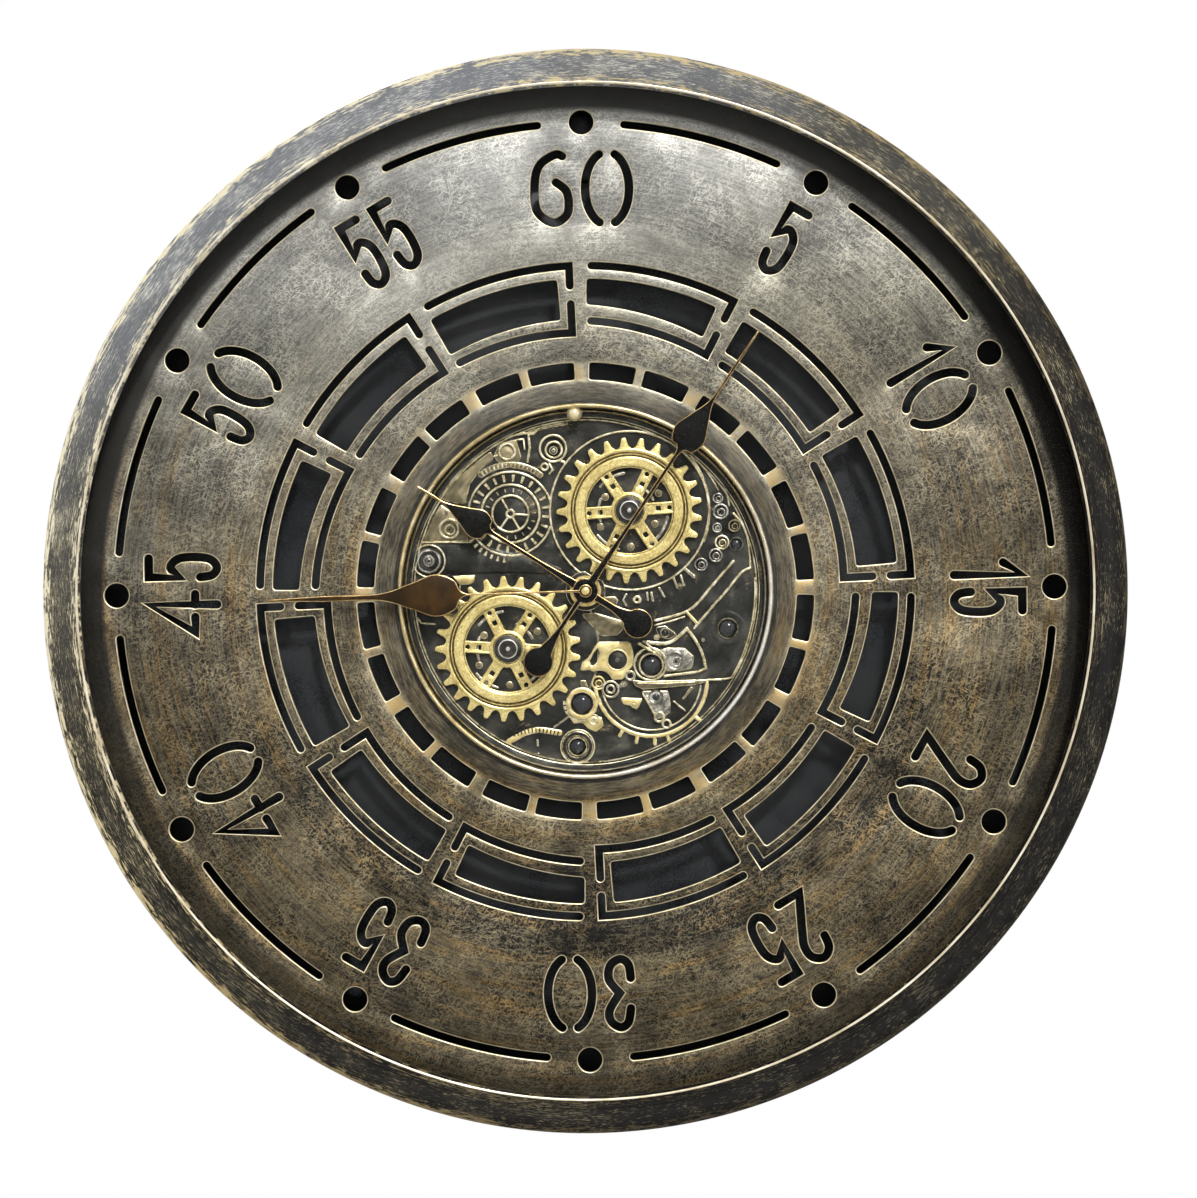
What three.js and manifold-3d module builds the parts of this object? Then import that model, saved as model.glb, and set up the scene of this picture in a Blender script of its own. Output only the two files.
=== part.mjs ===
// Round wall clock with a pierced dial and two turning brass gears.
// Millimetres. Each piece is drawn facing +Z: X to the right, Y up the dial, z = 0 at the wall.
// The last lines stand the clock up, so that the wall is the plane y = 0 and the dial faces -Y.

import * as THREE from 'three';
import { mergeVertices } from 'three/addons/utils/BufferGeometryUtils.js';
import Module from 'manifold-3d';

const wasm = await Module();
wasm.setup();

// Clearances
const seatGap = 0.3;
const fitGap = 0.3;

// Frame
const frameRadius = 300;
const frameDepth = 68;
const frameSkin = 3.5;
const lipDepth = 4.7;
const lipWidth = 3;
const lipRise = 1.4;
const edgeRound = 1.2;
const bevelStart = 50;
const bevelWidth = 23;
const lipRadius = frameRadius - bevelWidth;
const lipSeat = 7.5;
const boreRadius = lipRadius + lipSeat;
const boreWall = 3;
const boreDepth = 34;
const frameBossRadius = 4.8;
const frameScrews = 4;

// Lens, dial and back
const glassThick = 3;
const handRoom = 18.4;
const spacerWall = 3.2;
const dialThick = 2.5;
const panThick = 3;
const panRear = 8;
const panRimWall = 3;

// The dial was drawn for a frame of 300 mm with bars out to 126.8 mm. In another frame its rings keep
// their shares of the room between the bars and the frame.
const drawnFrame = 300;
const drawnBars = 126.8;

function fitted(radius) {
  const share = (frameRadius - barSlotOuter) / (drawnFrame - drawnBars);
  return barSlotOuter + (radius - drawnBars) * share;
}

// Dial piercings: radii and widths, with angles clockwise from 12 o'clock
const housingRadius = 110;
const dialOpening = housingRadius - 6;
const barSlotInner = dialOpening + 13.2;
const barSlotOuter = barSlotInner + 9.6;
const hourHoleRadius = 6.8;
const hourHoleCircle = fitted(260);
const arcSlotRadius = fitted(259.5);
const arcSlotFrom = 4.8;
const arcSlotTo = 25.1;
const slotWidth = 4.2;
const keySlotRadius = fitted(180.5);
const keySlotFrom = 0.9;
const keyLegAngle = 27.6;
const keyLegEnd = fitted(167.3);
const windowOuter = fitted(173.3);
const windowFrom = 0.75;
const windowTo = 25.3;
const windowInner = [[158.9, 155], [153.3, 152.2], [150.8, 150.8]].map((pair) => pair.map(fitted));
const innerSlot = [[149.8, 147], [146.3, 144.5], [144.5, 143.3]].map((pair) => pair.map(fitted));
const innerLegEnd = fitted(161.5);
const barSlots = [[1.5, 13.4], [15.7, 27.6]];
const sector = 30;

// Numerals, cut right through with round-ended strokes
const numeralInner = fitted(202);
const numeralHeight = fitted(244.5) - numeralInner;
const strokeWidth = 4.7;
const numeralGap = 4.4;
const numerals = ['60', '5', '10', '15', '20', '25', '30', '35', '40', '45', '50', '55'];

// Centre module
const bezelInner = dialOpening - 5;
const bezelOuter = dialOpening + 2.4;
const bezelTop = 45.6;
const studRadius = 4.4;
const studCircle = bezelInner - 0.4;
const studAngle = -3.1;
const housingWall = 2.5;
const housingFloorRear = 21.3;
const housingFloorThick = 2;
const reliefRear = 28.3;
const reliefThick = 2.5;
const columnRadius = 4.5;
const columnCircle = housingRadius - 10;
const columnAngles = [30, 150, 270];

// Display gears
const upperGearAt = [24.8, 44.6];
const lowerGearAt = [-43.5, -31.8];
const gearTeeth = 25;
const gearTip = 40.6;
const gearRoot = 34.8;
const gearRear = 32;
const gearThick = 2.6;
const gearBandInner = 26.3;
const gearBandOuter = 32;
const gearBandHeight = 1.7;
const gearSpokes = 6;
const gearSpokeWidth = 6.8;
const gearHubRadius = 10.5;
const upperToothAngle = 10.3;
const lowerToothAngle = 11.2;
const upperSpokeAngle = 26.3;
const lowerSpokeAngle = 33.5;
const pocketRadius = 43.6;

// Hidden drive behind the relief plate
const wheelTeeth = 18;
const pinionTeeth = 12;
const pinionOffset = 45;
const wheelThick = 3;
const wheelRear = 24.3;
const shaftRadius = 2.5;
const shaftCapRadius = 7.4;
const bushRadius = 5;

// Clock movement
const movementSide = 56;
const movementRear = 5;
const coverThick = 1.5;
const threadRadius = 4;
const threadEnd = 40;
const nutAcross = 13;
const nutThick = 4;
const washerRadius = 8.8;
const washerThick = 1;
const centreBossRadius = 11;
const centreBossTop = 33;
const hourPipeRadius = 2.9;
const minutePipeRadius = 2;
const spindleRadius = 1;
const knobRadius = 5.5;
const knobHeight = 3.4;
const knobOffset = 10;
const knobShaft = 2;
const coverFoot = -6;

// Hands
const handThick = 1.2;
const hourHandRear = 47;
const minuteHandRear = 50;
const secondHandRear = 52.6;
const hourAngle = 302.4;
const minuteAngle = 34.2;
const secondAngle = 268.8;

// Power for the gear motor
const cellRadius = 7.1;
const cellLength = 50.5;
const boxLength = 58;
const boxWidth = 33;
const boxAt = [0, -63.5];
const boxRear = 4.2;
const switchBlock = [18, 8];
const switchTravel = 4;
const motorRadius = 13;
const motorRear = 11.6;
const wireRadius = 0.6;

// Fasteners and hanger
const screwHeadRadius = 3.2;
const screwHeadHeight = 2;
const screwShankRadius = 1.4;
const hangerThick = 1.2;
const hangerAt = boreRadius - 39.5;
const hangerWidth = 30;
const hangerHeight = 64;
const keyholeRadius = 5.5;
const keyholeSlot = 5.2;
const keyholeRise = 14;
const pocketDepth = 7;

// Facets round a full turn
const ringSteps = 40;
const wideSteps = 32;
const bandSteps = 20;
const smallSteps = 12;
const boreSteps = 8;
const screwSteps = 6;

// The motor pinion stands beside the middle of the line between the two gears
const gearSpan = [lowerGearAt[0] - upperGearAt[0], lowerGearAt[1] - upperGearAt[1]];
const gearDistance = Math.hypot(...gearSpan);
const pinionAt = [
  upperGearAt[0] + gearSpan[0] / 2 + (pinionOffset * gearSpan[1]) / gearDistance,
  upperGearAt[1] + gearSpan[1] / 2 - (pinionOffset * gearSpan[0]) / gearDistance,
];

// Levels that follow from the sizes above
const lipRear = frameDepth - lipDepth;
const glassTop = lipRear - seatGap;
const glassRear = glassTop - glassThick;
const spacerTop = glassRear - seatGap;
const spacerRear = spacerTop - handRoom;
const dialTop = spacerRear - seatGap;
const dialRear = dialTop - dialThick;
const panFront = panRear + panThick;
const dialRadius = boreRadius - 0.5;
const floorFront = housingFloorRear + housingFloorThick;
const reliefTop = reliefRear + reliefThick;
const reliefRadius = housingRadius - housingWall - 0.5;
const bezelRear = reliefTop + 4.4;
const movementFront = housingFloorRear - seatGap;
const gearFront = gearRear + gearThick;
const washerRear = centreBossTop + seatGap;
const nutRear = washerRear + washerThick + seatGap;
const coverHeight = movementSide / 2 - 1.2 - coverFoot;
const coverMiddle = coverFoot + coverHeight / 2;
const clockCellAt = 3.4 + cellRadius - movementSide / 2;
const boxTop = boxAt[1] + boxWidth / 2;

// Materials
function finish(color, roughness, metalness) {
  return new THREE.MeshStandardMaterial({ color, roughness, metalness });
}

const frameBronze = finish(0x4c463c, 0.45, 0.9);
const dialBronze = finish(0x6b6250, 0.5, 0.9);
const bezelBronze = finish(0xa08c64, 0.35, 1);
const reliefBronze = finish(0x4a463e, 0.5, 0.8);
const gearBrass = finish(0xe1c86e, 0.3, 1);
const plainBrass = finish(0xc8a85a, 0.35, 1);
const steel = finish(0x9a9a9c, 0.35, 1);
const darkSteel = finish(0x3a3a3c, 0.4, 0.9);
const handBlack = finish(0x1a1410, 0.3, 0.6);
const handBrown = finish(0x3c2614, 0.35, 0.5);
const blackPlastic = finish(0x14181e, 0.3, 0);
const greyPlastic = finish(0x55585c, 0.5, 0);
const whitePlastic = finish(0xe6e4dc, 0.5, 0);
const clearGlass = finish(0xdfe8ea, 0.05, 0);
const cellWrap = finish(0x2f5d46, 0.4, 0.2);
const redWire = finish(0xa8201c, 0.5, 0);
const blackWire = finish(0x161616, 0.5, 0);

const clock = new THREE.Group();
clock.name = 'gear_wall_clock';

function addPiece(name, geometry, material) {
  const piece = new THREE.Mesh(geometry, material);
  piece.name = name;
  clock.add(piece);
}

// Points in the plane of the dial

function polar(radius, clockAngle) {
  const turn = THREE.MathUtils.degToRad(clockAngle);
  return new THREE.Vector2(radius * Math.sin(turn), radius * Math.cos(turn));
}

function circlePoints(radius, steps, x = 0, y = 0, phase = 0) {
  const points = [];
  for (let i = 0; i < steps; i++) {
    const turn = phase + (2 * Math.PI * i) / steps;
    points.push(new THREE.Vector2(x + radius * Math.cos(turn), y + radius * Math.sin(turn)));
  }
  return points;
}

// An arc round the dial centre whose radius may change along the way
function sweep(fromRadius, toRadius, fromAngle, toAngle, steps) {
  const points = [];
  for (let i = 0; i <= steps; i++) {
    const share = i / steps;
    const radius = THREE.MathUtils.lerp(fromRadius, toRadius, share);
    points.push(polar(radius, THREE.MathUtils.lerp(fromAngle, toAngle, share)));
  }
  return points;
}

function vectors(pairs) {
  return pairs.map(([x, y]) => new THREE.Vector2(x, y));
}

function smooth(pairs, steps) {
  return new THREE.SplineCurve(vectors(pairs)).getPoints(steps);
}

function ellipseArc(x, y, reachX, reachY, from, to, steps) {
  const points = [];
  for (let i = 0; i <= steps; i++) {
    const turn = THREE.MathUtils.degToRad(THREE.MathUtils.lerp(from, to, i / steps));
    points.push(new THREE.Vector2(x + reachX * Math.cos(turn), y + reachY * Math.sin(turn)));
  }
  return points;
}

function rotated(points, clockAngle) {
  const turn = -THREE.MathUtils.degToRad(clockAngle);
  return points.map((p) => p.clone().rotateAround(new THREE.Vector2(), turn));
}

function moved(points, x, y) {
  return points.map((p) => new THREE.Vector2(p.x + x, p.y + y));
}

// The outline of a groove of even width along a line, with round ends and mitred bends
function strokeOutline(line, width) {
  const half = width / 2;
  const left = [];
  const right = [];
  line.forEach((point, i) => {
    const before = i > 0 ? point.clone().sub(line[i - 1]).normalize() : null;
    const after = i < line.length - 1 ? line[i + 1].clone().sub(point).normalize() : null;
    const along = (before ?? after).clone().add(after ?? before).normalize();
    const side = new THREE.Vector2(-along.y, along.x);
    const edge = before ?? after;
    const reach = half / Math.max(0.6, side.dot(new THREE.Vector2(-edge.y, edge.x)));
    left.push(point.clone().addScaledVector(side, reach));
    right.push(point.clone().addScaledVector(side, -reach));
  });
  const capAt = (point, toward, from) => {
    const out = point.clone().sub(toward).normalize();
    return from.map((turn) => point.clone().addScaledVector(
      out.clone().rotateAround(new THREE.Vector2(), turn), half));
  };
  const last = line.length - 1;
  const turns = [Math.PI / 4, -Math.PI / 4];
  const endCap = capAt(line[last], line[last - 1], turns);
  const startCap = capAt(line[0], line[1], turns);
  return [...left, ...endCap, ...right.reverse(), ...startCap];
}

// Solids

function prism(points, rear, height, holes = []) {
  const ordered = THREE.ShapeUtils.isClockWise(points) ? [...points].reverse() : points;
  const shape = new THREE.Shape(ordered);
  shape.holes = holes.map((hole) => new THREE.Path(hole));
  const geometry = new THREE.ExtrudeGeometry(shape, { depth: height, bevelEnabled: false });
  return geometry.translate(0, 0, rear);
}

// A turned piece: [radius, level] pairs, counter-clockwise, either from axis to axis or closed
function turned(profile, steps, x = 0, y = 0) {
  const points = vectors(profile);
  if (profile[0][0] > 0) {
    points.push(points[0].clone());
  }
  const geometry = new THREE.LatheGeometry(points, steps);
  return geometry.rotateX(Math.PI / 2).translate(x, y, 0);
}

function rod(radius, rear, front, steps, x = 0, y = 0) {
  return turned([[0, rear], [radius, rear], [radius, front], [0, front]], steps, x, y);
}

function tube(radius, bore, rear, front, steps, x = 0, y = 0) {
  return turned([[bore, rear], [radius, rear], [radius, front], [bore, front]], steps, x, y);
}

function block(width, height, depth, x, y, rear) {
  return new THREE.BoxGeometry(width, height, depth).translate(x, y, rear + depth / 2);
}

function toSolid(geometry) {
  const bare = geometry.clone();
  bare.deleteAttribute('normal');
  bare.deleteAttribute('uv');
  const merged = mergeVertices(bare, 1e-4);
  return new wasm.Manifold(new wasm.Mesh({
    numProp: 3,
    vertProperties: new Float32Array(merged.attributes.position.array),
    triVerts: new Uint32Array(merged.index.array),
  }));
}

function fromSolid(solid) {
  const mesh = solid.getMesh();
  const geometry = new THREE.BufferGeometry();
  geometry.setAttribute('position', new THREE.BufferAttribute(new Float32Array(mesh.vertProperties), 3));
  geometry.setIndex(new THREE.BufferAttribute(new Uint32Array(mesh.triVerts), 1));
  geometry.computeVertexNormals();
  return geometry;
}

// One solid from pieces to join and pieces to cut away
function shaped(joined, cuts = []) {
  let solid = toSolid(joined[0]);
  for (const geometry of joined.slice(1)) {
    solid = solid.add(toSolid(geometry));
  }
  for (const geometry of cuts) {
    solid = solid.subtract(toSolid(geometry));
  }
  return fromSolid(solid);
}

// Frame ring: a deep outer wall, a face that rises inward to a thin lip, and an inner bore wall
function frameRing() {
  const outerInside = frameRadius - frameSkin;
  const boreOutside = boreRadius + boreWall;
  const faceTop = frameDepth - lipRise;
  const faceInner = lipRadius + lipWidth + 1;
  const slope = (faceTop - bevelStart) / (frameRadius - edgeRound - faceInner);
  const under = (radius) => bevelStart + slope * (frameRadius - edgeRound - radius) - frameSkin;
  const ring = turned([
    [outerInside, 0],
    [frameRadius, 0],
    [frameRadius, bevelStart - 3],
    [frameRadius - edgeRound, bevelStart],
    [faceInner, faceTop],
    [lipRadius + lipWidth / 2, frameDepth],
    [lipRadius, frameDepth - 0.8],
    [lipRadius, lipRear],
    [boreRadius, lipRear],
    [boreRadius, boreDepth],
    [boreOutside, boreDepth],
    [boreOutside, under(boreOutside)],
    [outerInside, under(outerInside)],
  ], ringSteps);
  const bossCircle = (boreOutside + outerInside) / 2;
  const bosses = [];
  const pilots = [];
  for (let i = 0; i < frameScrews; i++) {
    const at = polar(bossCircle, 360 * (i + 0.5) / frameScrews);
    const bossTop = under(bossCircle + frameBossRadius) + 1;
    bosses.push(rod(frameBossRadius, panFront + seatGap, bossTop, boreSteps, at.x, at.y));
    pilots.push(rod(screwShankRadius + fitGap, 0, panFront + 14, screwSteps, at.x, at.y));
  }
  return { geometry: shaped([ring, ...bosses], pilots), bossCircle };
}

// Pierced dial

// Strokes of a digit, as lines that its round-ended groove follows, with its foot at y = 0
function digitStrokes(digit) {
  const high = numeralHeight - strokeWidth;
  const middle = high / 2;
  const strokes = {
    0: [
      ellipseArc(0, middle, 12.2, middle * 1.07, 111, 249, 5),
      ellipseArc(0, middle, 12.2, middle * 1.07, -69, 69, 5),
    ],
    1: [
      vectors([[-3.4, high - 10.5], [3.4, high], [3.4, 0]]),
    ],
    2: [
      [...smooth([[-6.8, high - 10.4], [-5.6, high - 3.4], [-0.4, high], [5.2, high - 3.6],
        [6, high - 10.6], [2.6, high * 0.5], [-6.6, 0]], 8), new THREE.Vector2(6.8, 0)],
    ],
    3: [
      [...smooth([[-6, high - 10.5], [-4.6, high - 2.8], [-0.3, high], [4.8, high - 3.2],
        [5.8, high - 9.4], [0.1, middle]], 6),
      ...smooth([[0.1, middle], [6, 11.4], [5.2, 3.4], [-0.3, 0], [-4.8, 3], [-6, 10.5]],
        6).slice(1)],
    ],
    4: [
      vectors([[-1.7, 12.2], [-10.3, 12.2], [5.2, high], [5.2, 0]]),
      vectors([[5.2, 12.2], [11, 12.2]]),
    ],
    5: [
      [...vectors([[5.2, high], [-5.3, high]]), ...smooth([[-5.7, high * 0.54],
        [-0.2, high * 0.68], [4.6, high * 0.58], [5.8, high * 0.37], [4.6, 4], [0, 0],
        [-4.2, 2.6], [-5.4, 9.3]], 8)],
    ],
    6: [
      smooth([[6, high - 0.9], [2, high], [-6.5, high - 5.7], [-9.3, high - 16], [-8.2, 6.8],
        [0.5, 0], [8, 3.8], [9.5, 10.8], [8, 17.8], [2.5, 22.4]], 11),
    ],
  };
  return strokes[digit];
}

function digitWidth(digit) {
  const all = digitStrokes(digit).flat().map((p) => p.x);
  return [Math.min(...all) - strokeWidth / 2, Math.max(...all) + strokeWidth / 2];
}

function numeralOutlines(text, clockAngle) {
  const widths = [...text].map(digitWidth);
  const total = widths.reduce((sum, [low, high]) => sum + high - low, 0)
    + numeralGap * (text.length - 1);
  let edge = -total / 2;
  const outlines = [];
  [...text].forEach((digit, i) => {
    const [low, high] = widths[i];
    for (const line of digitStrokes(digit)) {
      const placed = moved(line, edge - low, numeralInner + strokeWidth / 2);
      outlines.push(rotated(strokeOutline(placed, strokeWidth), clockAngle));
    }
    edge += high - low + numeralGap;
  });
  return outlines;
}

// An opening between two arcs; the inner one may change its radius along the way
function openingOutline(innerFrom, innerTo, outer, fromAngle, toAngle, steps) {
  return [
    ...sweep(outer, outer, fromAngle, toAngle, steps),
    ...sweep(innerTo, innerFrom, toAngle, fromAngle, steps),
  ];
}

// A slot along an arc; the angles are those of its visible round ends
function arcSlot(fromRadius, toRadius, fromAngle, toAngle) {
  const inset = THREE.MathUtils.radToDeg(slotWidth / 2 / fromRadius);
  return strokeOutline(sweep(fromRadius, toRadius, fromAngle + inset, toAngle - inset, 3), slotWidth);
}

// A slot along an arc that turns at its far end into a short radial leg
function keySlot(fromRadius, toRadius, start, legEnd) {
  const inset = THREE.MathUtils.radToDeg(slotWidth / 2 / fromRadius);
  const leg = start + keyLegAngle;
  const inward = Math.sign(legEnd - toRadius);
  const line = sweep(fromRadius, toRadius, start + keySlotFrom + inset, leg, 3);
  line.push(polar(legEnd - inward * slotWidth / 2, leg));
  return strokeOutline(line, slotWidth);
}

// The piercings of one sector; the windows come back every quarter turn
function sectorOutlines(index) {
  const start = index * sector;
  const place = index % windowInner.length;
  const hole = polar(hourHoleCircle, start);
  const outlines = [
    circlePoints(hourHoleRadius, boreSteps, hole.x, hole.y),
    arcSlot(arcSlotRadius, arcSlotRadius, start + arcSlotFrom, start + arcSlotTo),
    keySlot(keySlotRadius, keySlotRadius, start, keyLegEnd),
    openingOutline(...windowInner[place], windowOuter, start + windowFrom, start + windowTo, 3),
    keySlot(...innerSlot[place], start, innerLegEnd),
  ];
  for (const [from, to] of barSlots) {
    outlines.push(openingOutline(barSlotInner, barSlotInner, barSlotOuter, start + from, start + to, 1));
  }
  return outlines;
}

function dialPlate() {
  const plate = prism(circlePoints(dialRadius, ringSteps), dialRear, dialThick,
    [circlePoints(dialOpening, wideSteps)]);
  const cuts = [];
  numerals.forEach((text, i) => {
    const outlines = [...sectorOutlines(i), ...numeralOutlines(text, i * sector)];
    cuts.push(...outlines.map((outline) => prism(outline, dialRear - 1, dialThick + 2)));
  });
  return shaped([plate], cuts);
}

// Back pan: a tray whose rim holds the dial, with openings for the works
function backPan(bossCircle) {
  const rimOuter = boreRadius - 1;
  const panRadius = frameRadius - frameSkin - 0.6;
  const tray = turned([
    [0, panRear],
    [panRadius, panRear],
    [panRadius, panFront],
    [rimOuter, panFront],
    [rimOuter, dialRear - seatGap],
    [rimOuter - panRimWall, dialRear - seatGap],
    [rimOuter - panRimWall, panFront],
    [0, panFront],
  ], ringSteps);
  const through = (width, height, x, y) => block(width, height, panThick + 2, x, y, panRear - 1);
  const pocketWide = keyholeRadius * 2 + 5;
  const pocketHigh = keyholeRise + keyholeRadius * 2 + 6;
  const pocketAt = hangerAt + keyholeRise / 2 - 3;
  const pocket = block(pocketWide + 2 * panThick, pocketHigh + 2 * panThick, pocketDepth + 1, 0,
    pocketAt, panFront - 1);
  const cuts = [
    through(movementSide + 1.2, movementSide + 1.2, 0, 0),
    through(boxLength + 1, boxWidth + 1, boxAt[0], boxAt[1]),
    through(switchBlock[0] + 1, switchBlock[1] + 1.4, boxAt[0], boxTop + switchBlock[1] / 2),
    block(pocketWide, pocketHigh, pocketDepth + 1, 0, pocketAt, panRear - 1),
  ];
  for (let i = 0; i < frameScrews; i++) {
    cuts.push(screwHole(polar(bossCircle, 360 * (i + 0.5) / frameScrews), panRear - 1, panFront + 1));
  }
  for (const angle of columnAngles) {
    cuts.push(screwHole(polar(columnCircle, angle), panRear - 1, panFront + 1));
  }
  for (const at of hangerScrews()) {
    cuts.push(screwHole(at, panRear - 1, panFront + 1));
  }
  return shaped([tray, pocket], cuts);
}

function hangerScrews() {
  const reach = hangerHeight / 2 - 5;
  return [new THREE.Vector2(0, hangerAt + reach), new THREE.Vector2(0, hangerAt - reach)];
}

function screwHole(at, rear, front) {
  return rod(screwShankRadius + fitGap, rear, front, screwSteps, at.x, at.y);
}

// A screw driven from behind, its head bearing on the level seat
function screw(at, seat, length) {
  const under = seat - 0.2;
  return turned([
    [0, under - screwHeadHeight],
    [screwHeadRadius, under - screwHeadHeight],
    [screwHeadRadius, under],
    [screwShankRadius, under],
    [screwShankRadius, seat + length],
    [0, seat + length],
  ], screwSteps, at.x, at.y);
}

function hangerPlate() {
  const half = hangerWidth / 2 - 6;
  const reach = hangerHeight / 2 - 6;
  const corners = [[half, reach], [-half, reach], [-half, -reach], [half, -reach]];
  const outline = [];
  corners.forEach(([x, y], i) => {
    for (let step = 0; step <= 3; step++) {
      const turn = (i * Math.PI) / 2 + (step * Math.PI) / 6;
      outline.push(new THREE.Vector2(x + 6 * Math.cos(turn), hangerAt + y + 6 * Math.sin(turn)));
    }
  });
  const rear = panRear - seatGap - hangerThick;
  const cut = (points) => prism(points, rear - 1, hangerThick + 2);
  const keyhole = cut(circlePoints(keyholeRadius, smallSteps, 0, hangerAt - 4));
  const slot = cut(strokeOutline(
    vectors([[0, hangerAt - 4], [0, hangerAt - 4 + keyholeRise]]), keyholeSlot));
  const holes = hangerScrews().map((at) => screwHole(at, rear - 1, panRear));
  return shaped([prism(outline, rear, hangerThick)], [keyhole, slot, ...holes]);
}

// Centre module

function moduleHousing() {
  const floor = rod(housingRadius - housingWall / 2, housingFloorRear, floorFront, wideSteps);
  const wall = tube(housingRadius, housingRadius - housingWall, panFront + seatGap,
    dialRear - seatGap, wideSteps);
  const columns = columnAngles.map((angle) => {
    const at = polar(columnCircle, angle);
    return rod(columnRadius, panFront + seatGap, reliefRear - seatGap, boreSteps, at.x, at.y);
  });
  const through = (radius, x, y) => rod(radius, panRear, floorFront + 1, boreSteps, x, y);
  const cuts = [
    through(threadRadius + fitGap + 0.3, 0, 0),
    through(shaftRadius + fitGap, ...upperGearAt),
    through(shaftRadius + fitGap, ...lowerGearAt),
    through(4, ...pinionAt),
    ...motorScrews().map((at) => screwHole(at, panRear, floorFront + 1)),
    ...columnAngles.map((angle) => screwHole(polar(columnCircle, angle), panRear, panFront + 9)),
  ];
  return shaped([floor, wall, ...columns], cuts);
}

function motorScrews() {
  const reach = motorRadius + 3.6;
  const along = polar(reach, 40);
  return [1, -1].map((side) => new THREE.Vector2(
    pinionAt[0] + side * along.x, pinionAt[1] + side * along.y));
}

function bezelRing() {
  const flange = dialTop + seatGap;
  const inset = dialOpening - 0.6;
  const ring = turned([
    [bezelInner, bezelRear],
    [inset, bezelRear],
    [inset, flange],
    [bezelOuter, flange],
    [bezelOuter, flange + 1.4],
    [inset - 1, bezelTop],
    [bezelInner + 0.8, bezelTop],
  ], wideSteps);
  const stud = studPlace();
  return shaped([ring], [rod(studRadius + seatGap + 0.1, bezelRear - 1, bezelTop + 1, 10, stud.x, stud.y)]);
}

function studPlace() {
  return polar(studCircle, studAngle);
}

// A ball-headed stud that stands on the rim of the relief plate in a notch of the bezel
function bezelStud() {
  const at = studPlace();
  const centre = bezelTop - studRadius;
  const waist = studRadius * 0.5;
  const ball = ellipseArc(0, centre, studRadius, studRadius, -60, 90, 4).map((p) => [p.x, p.y]);
  ball[ball.length - 1][0] = 0;
  return turned([[0, bezelRear], [waist, bezelRear], ...ball], 10, at.x, at.y);
}

// A round boss of the relief: a step up to each [radius, height] pair, from the outside in
function reliefBoss(x, y, rings) {
  const steps = rings[0][0] > 8.5 ? smallSteps : boreSteps;
  const profile = [[0, reliefTop - 1], [rings[0][0], reliefTop - 1]];
  rings.forEach(([radius, height], i) => {
    profile.push([radius, reliefTop + height]);
    const next = rings[i + 1];
    if (next) {
      profile.push([next[0], reliefTop + height]);
    }
  });
  profile.push([0, reliefTop + rings[rings.length - 1][1]]);
  return turned(profile, steps, x, y);
}

function reliefBar(line, width, height) {
  return prism(strokeOutline(line, width), reliefTop - 1, height + 1);
}

function reliefPlateau(points, height) {
  return prism(points, reliefTop - 1, height + 1);
}

// Short teeth or ticks along an arc round a centre of their own
function reliefTicks(x, y, inner, outer, fromAngle, toAngle, count, width, height) {
  const ticks = [];
  for (let i = 0; i < count; i++) {
    const angle = THREE.MathUtils.lerp(fromAngle, toAngle, count > 1 ? i / (count - 1) : 0);
    const corners = vectors([[-width / 2, inner], [width / 2, inner], [width / 2, outer],
      [-width / 2, outer]]);
    ticks.push(reliefPlateau(moved(rotated(corners, angle), x, y), height));
  }
  return ticks;
}

function ringAround(x, y, radius, width, height, steps) {
  return tube(radius + width / 2, radius - width / 2, reliefTop - 1, reliefTop + height, steps, x, y);
}

// The front of the module: a moulded plate that shows the bridges and wheels of a movement
function reliefPlate() {
  const upperPocket = rod(pocketRadius, reliefTop, reliefTop + 8, bandSteps, ...upperGearAt);
  const detail = shaped([
    rod(reliefRadius, reliefRear, reliefTop, wideSteps),
    ...subDial(-41.1, 44.2),
    ...upperBridge(),
    ...rightBridge(),
    ...lowerBridge(),
  ], [upperPocket]);
  const pocketRim = tube(pocketRadius + 1.6, pocketRadius, reliefTop - 0.5, centreBossTop, bandSteps,
    ...upperGearAt);
  const rim = tube(dialOpening, bezelInner - 2.6, reliefTop - 1, bezelRear - seatGap, wideSteps);
  const centreBoss = rod(centreBossRadius, reliefTop - 1, centreBossTop, smallSteps);
  const rearBoss = rod(6.5, floorFront + seatGap, reliefRear + 1, smallSteps);
  const cuts = [
    rod(threadRadius + fitGap, floorFront, centreBossTop + 1, smallSteps),
    tube(housingRadius + 20, reliefRadius, reliefRear - 1, centreBossTop + 3, wideSteps),
  ];
  for (const at of [upperGearAt, lowerGearAt]) {
    cuts.push(rod(gearTip + 1.2, gearRear - 0.6, gearFront + 8, bandSteps, ...at));
    cuts.push(rod(bushRadius + fitGap, reliefRear - 1, gearRear, smallSteps, ...at));
  }
  return shaped([detail, pocketRim, rim, centreBoss, rearBoss], cuts);
}

function subDial(x, y) {
  return [
    ringAround(x, y, 23.2, 1.8, 1.8, smallSteps),
    reliefBoss(x, y, [[16, 1.8], [10.2, 2.4]]),
    ...reliefTicks(x, y, 23.6, 28.2, -36, 26, 4, 2, 1.8),
  ];
}

function upperBridge() {
  return [
    reliefPlateau([...sweep(94.5, 94.5, -76, -22, 5), ...sweep(64, 58, -24, -62, 2)], 1),
    reliefPlateau(vectors([[-86, 26.4], [-62, 27], [-24, 16], [-13, 11.6], [-14, 8], [-40, 9.4],
      [-86, 9.4]]), 0.9),
    reliefBoss(-16.6, 79.8, [[8, 2.6]]),
    reliefBoss(-43.3, 77.9, [[5.2, 2.8]]),
    reliefBoss(-75.5, 36.2, [[5.8, 2.8]]),
    reliefBoss(-87, 17.5, [[8.6, 2.4]]),
  ];
}

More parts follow.
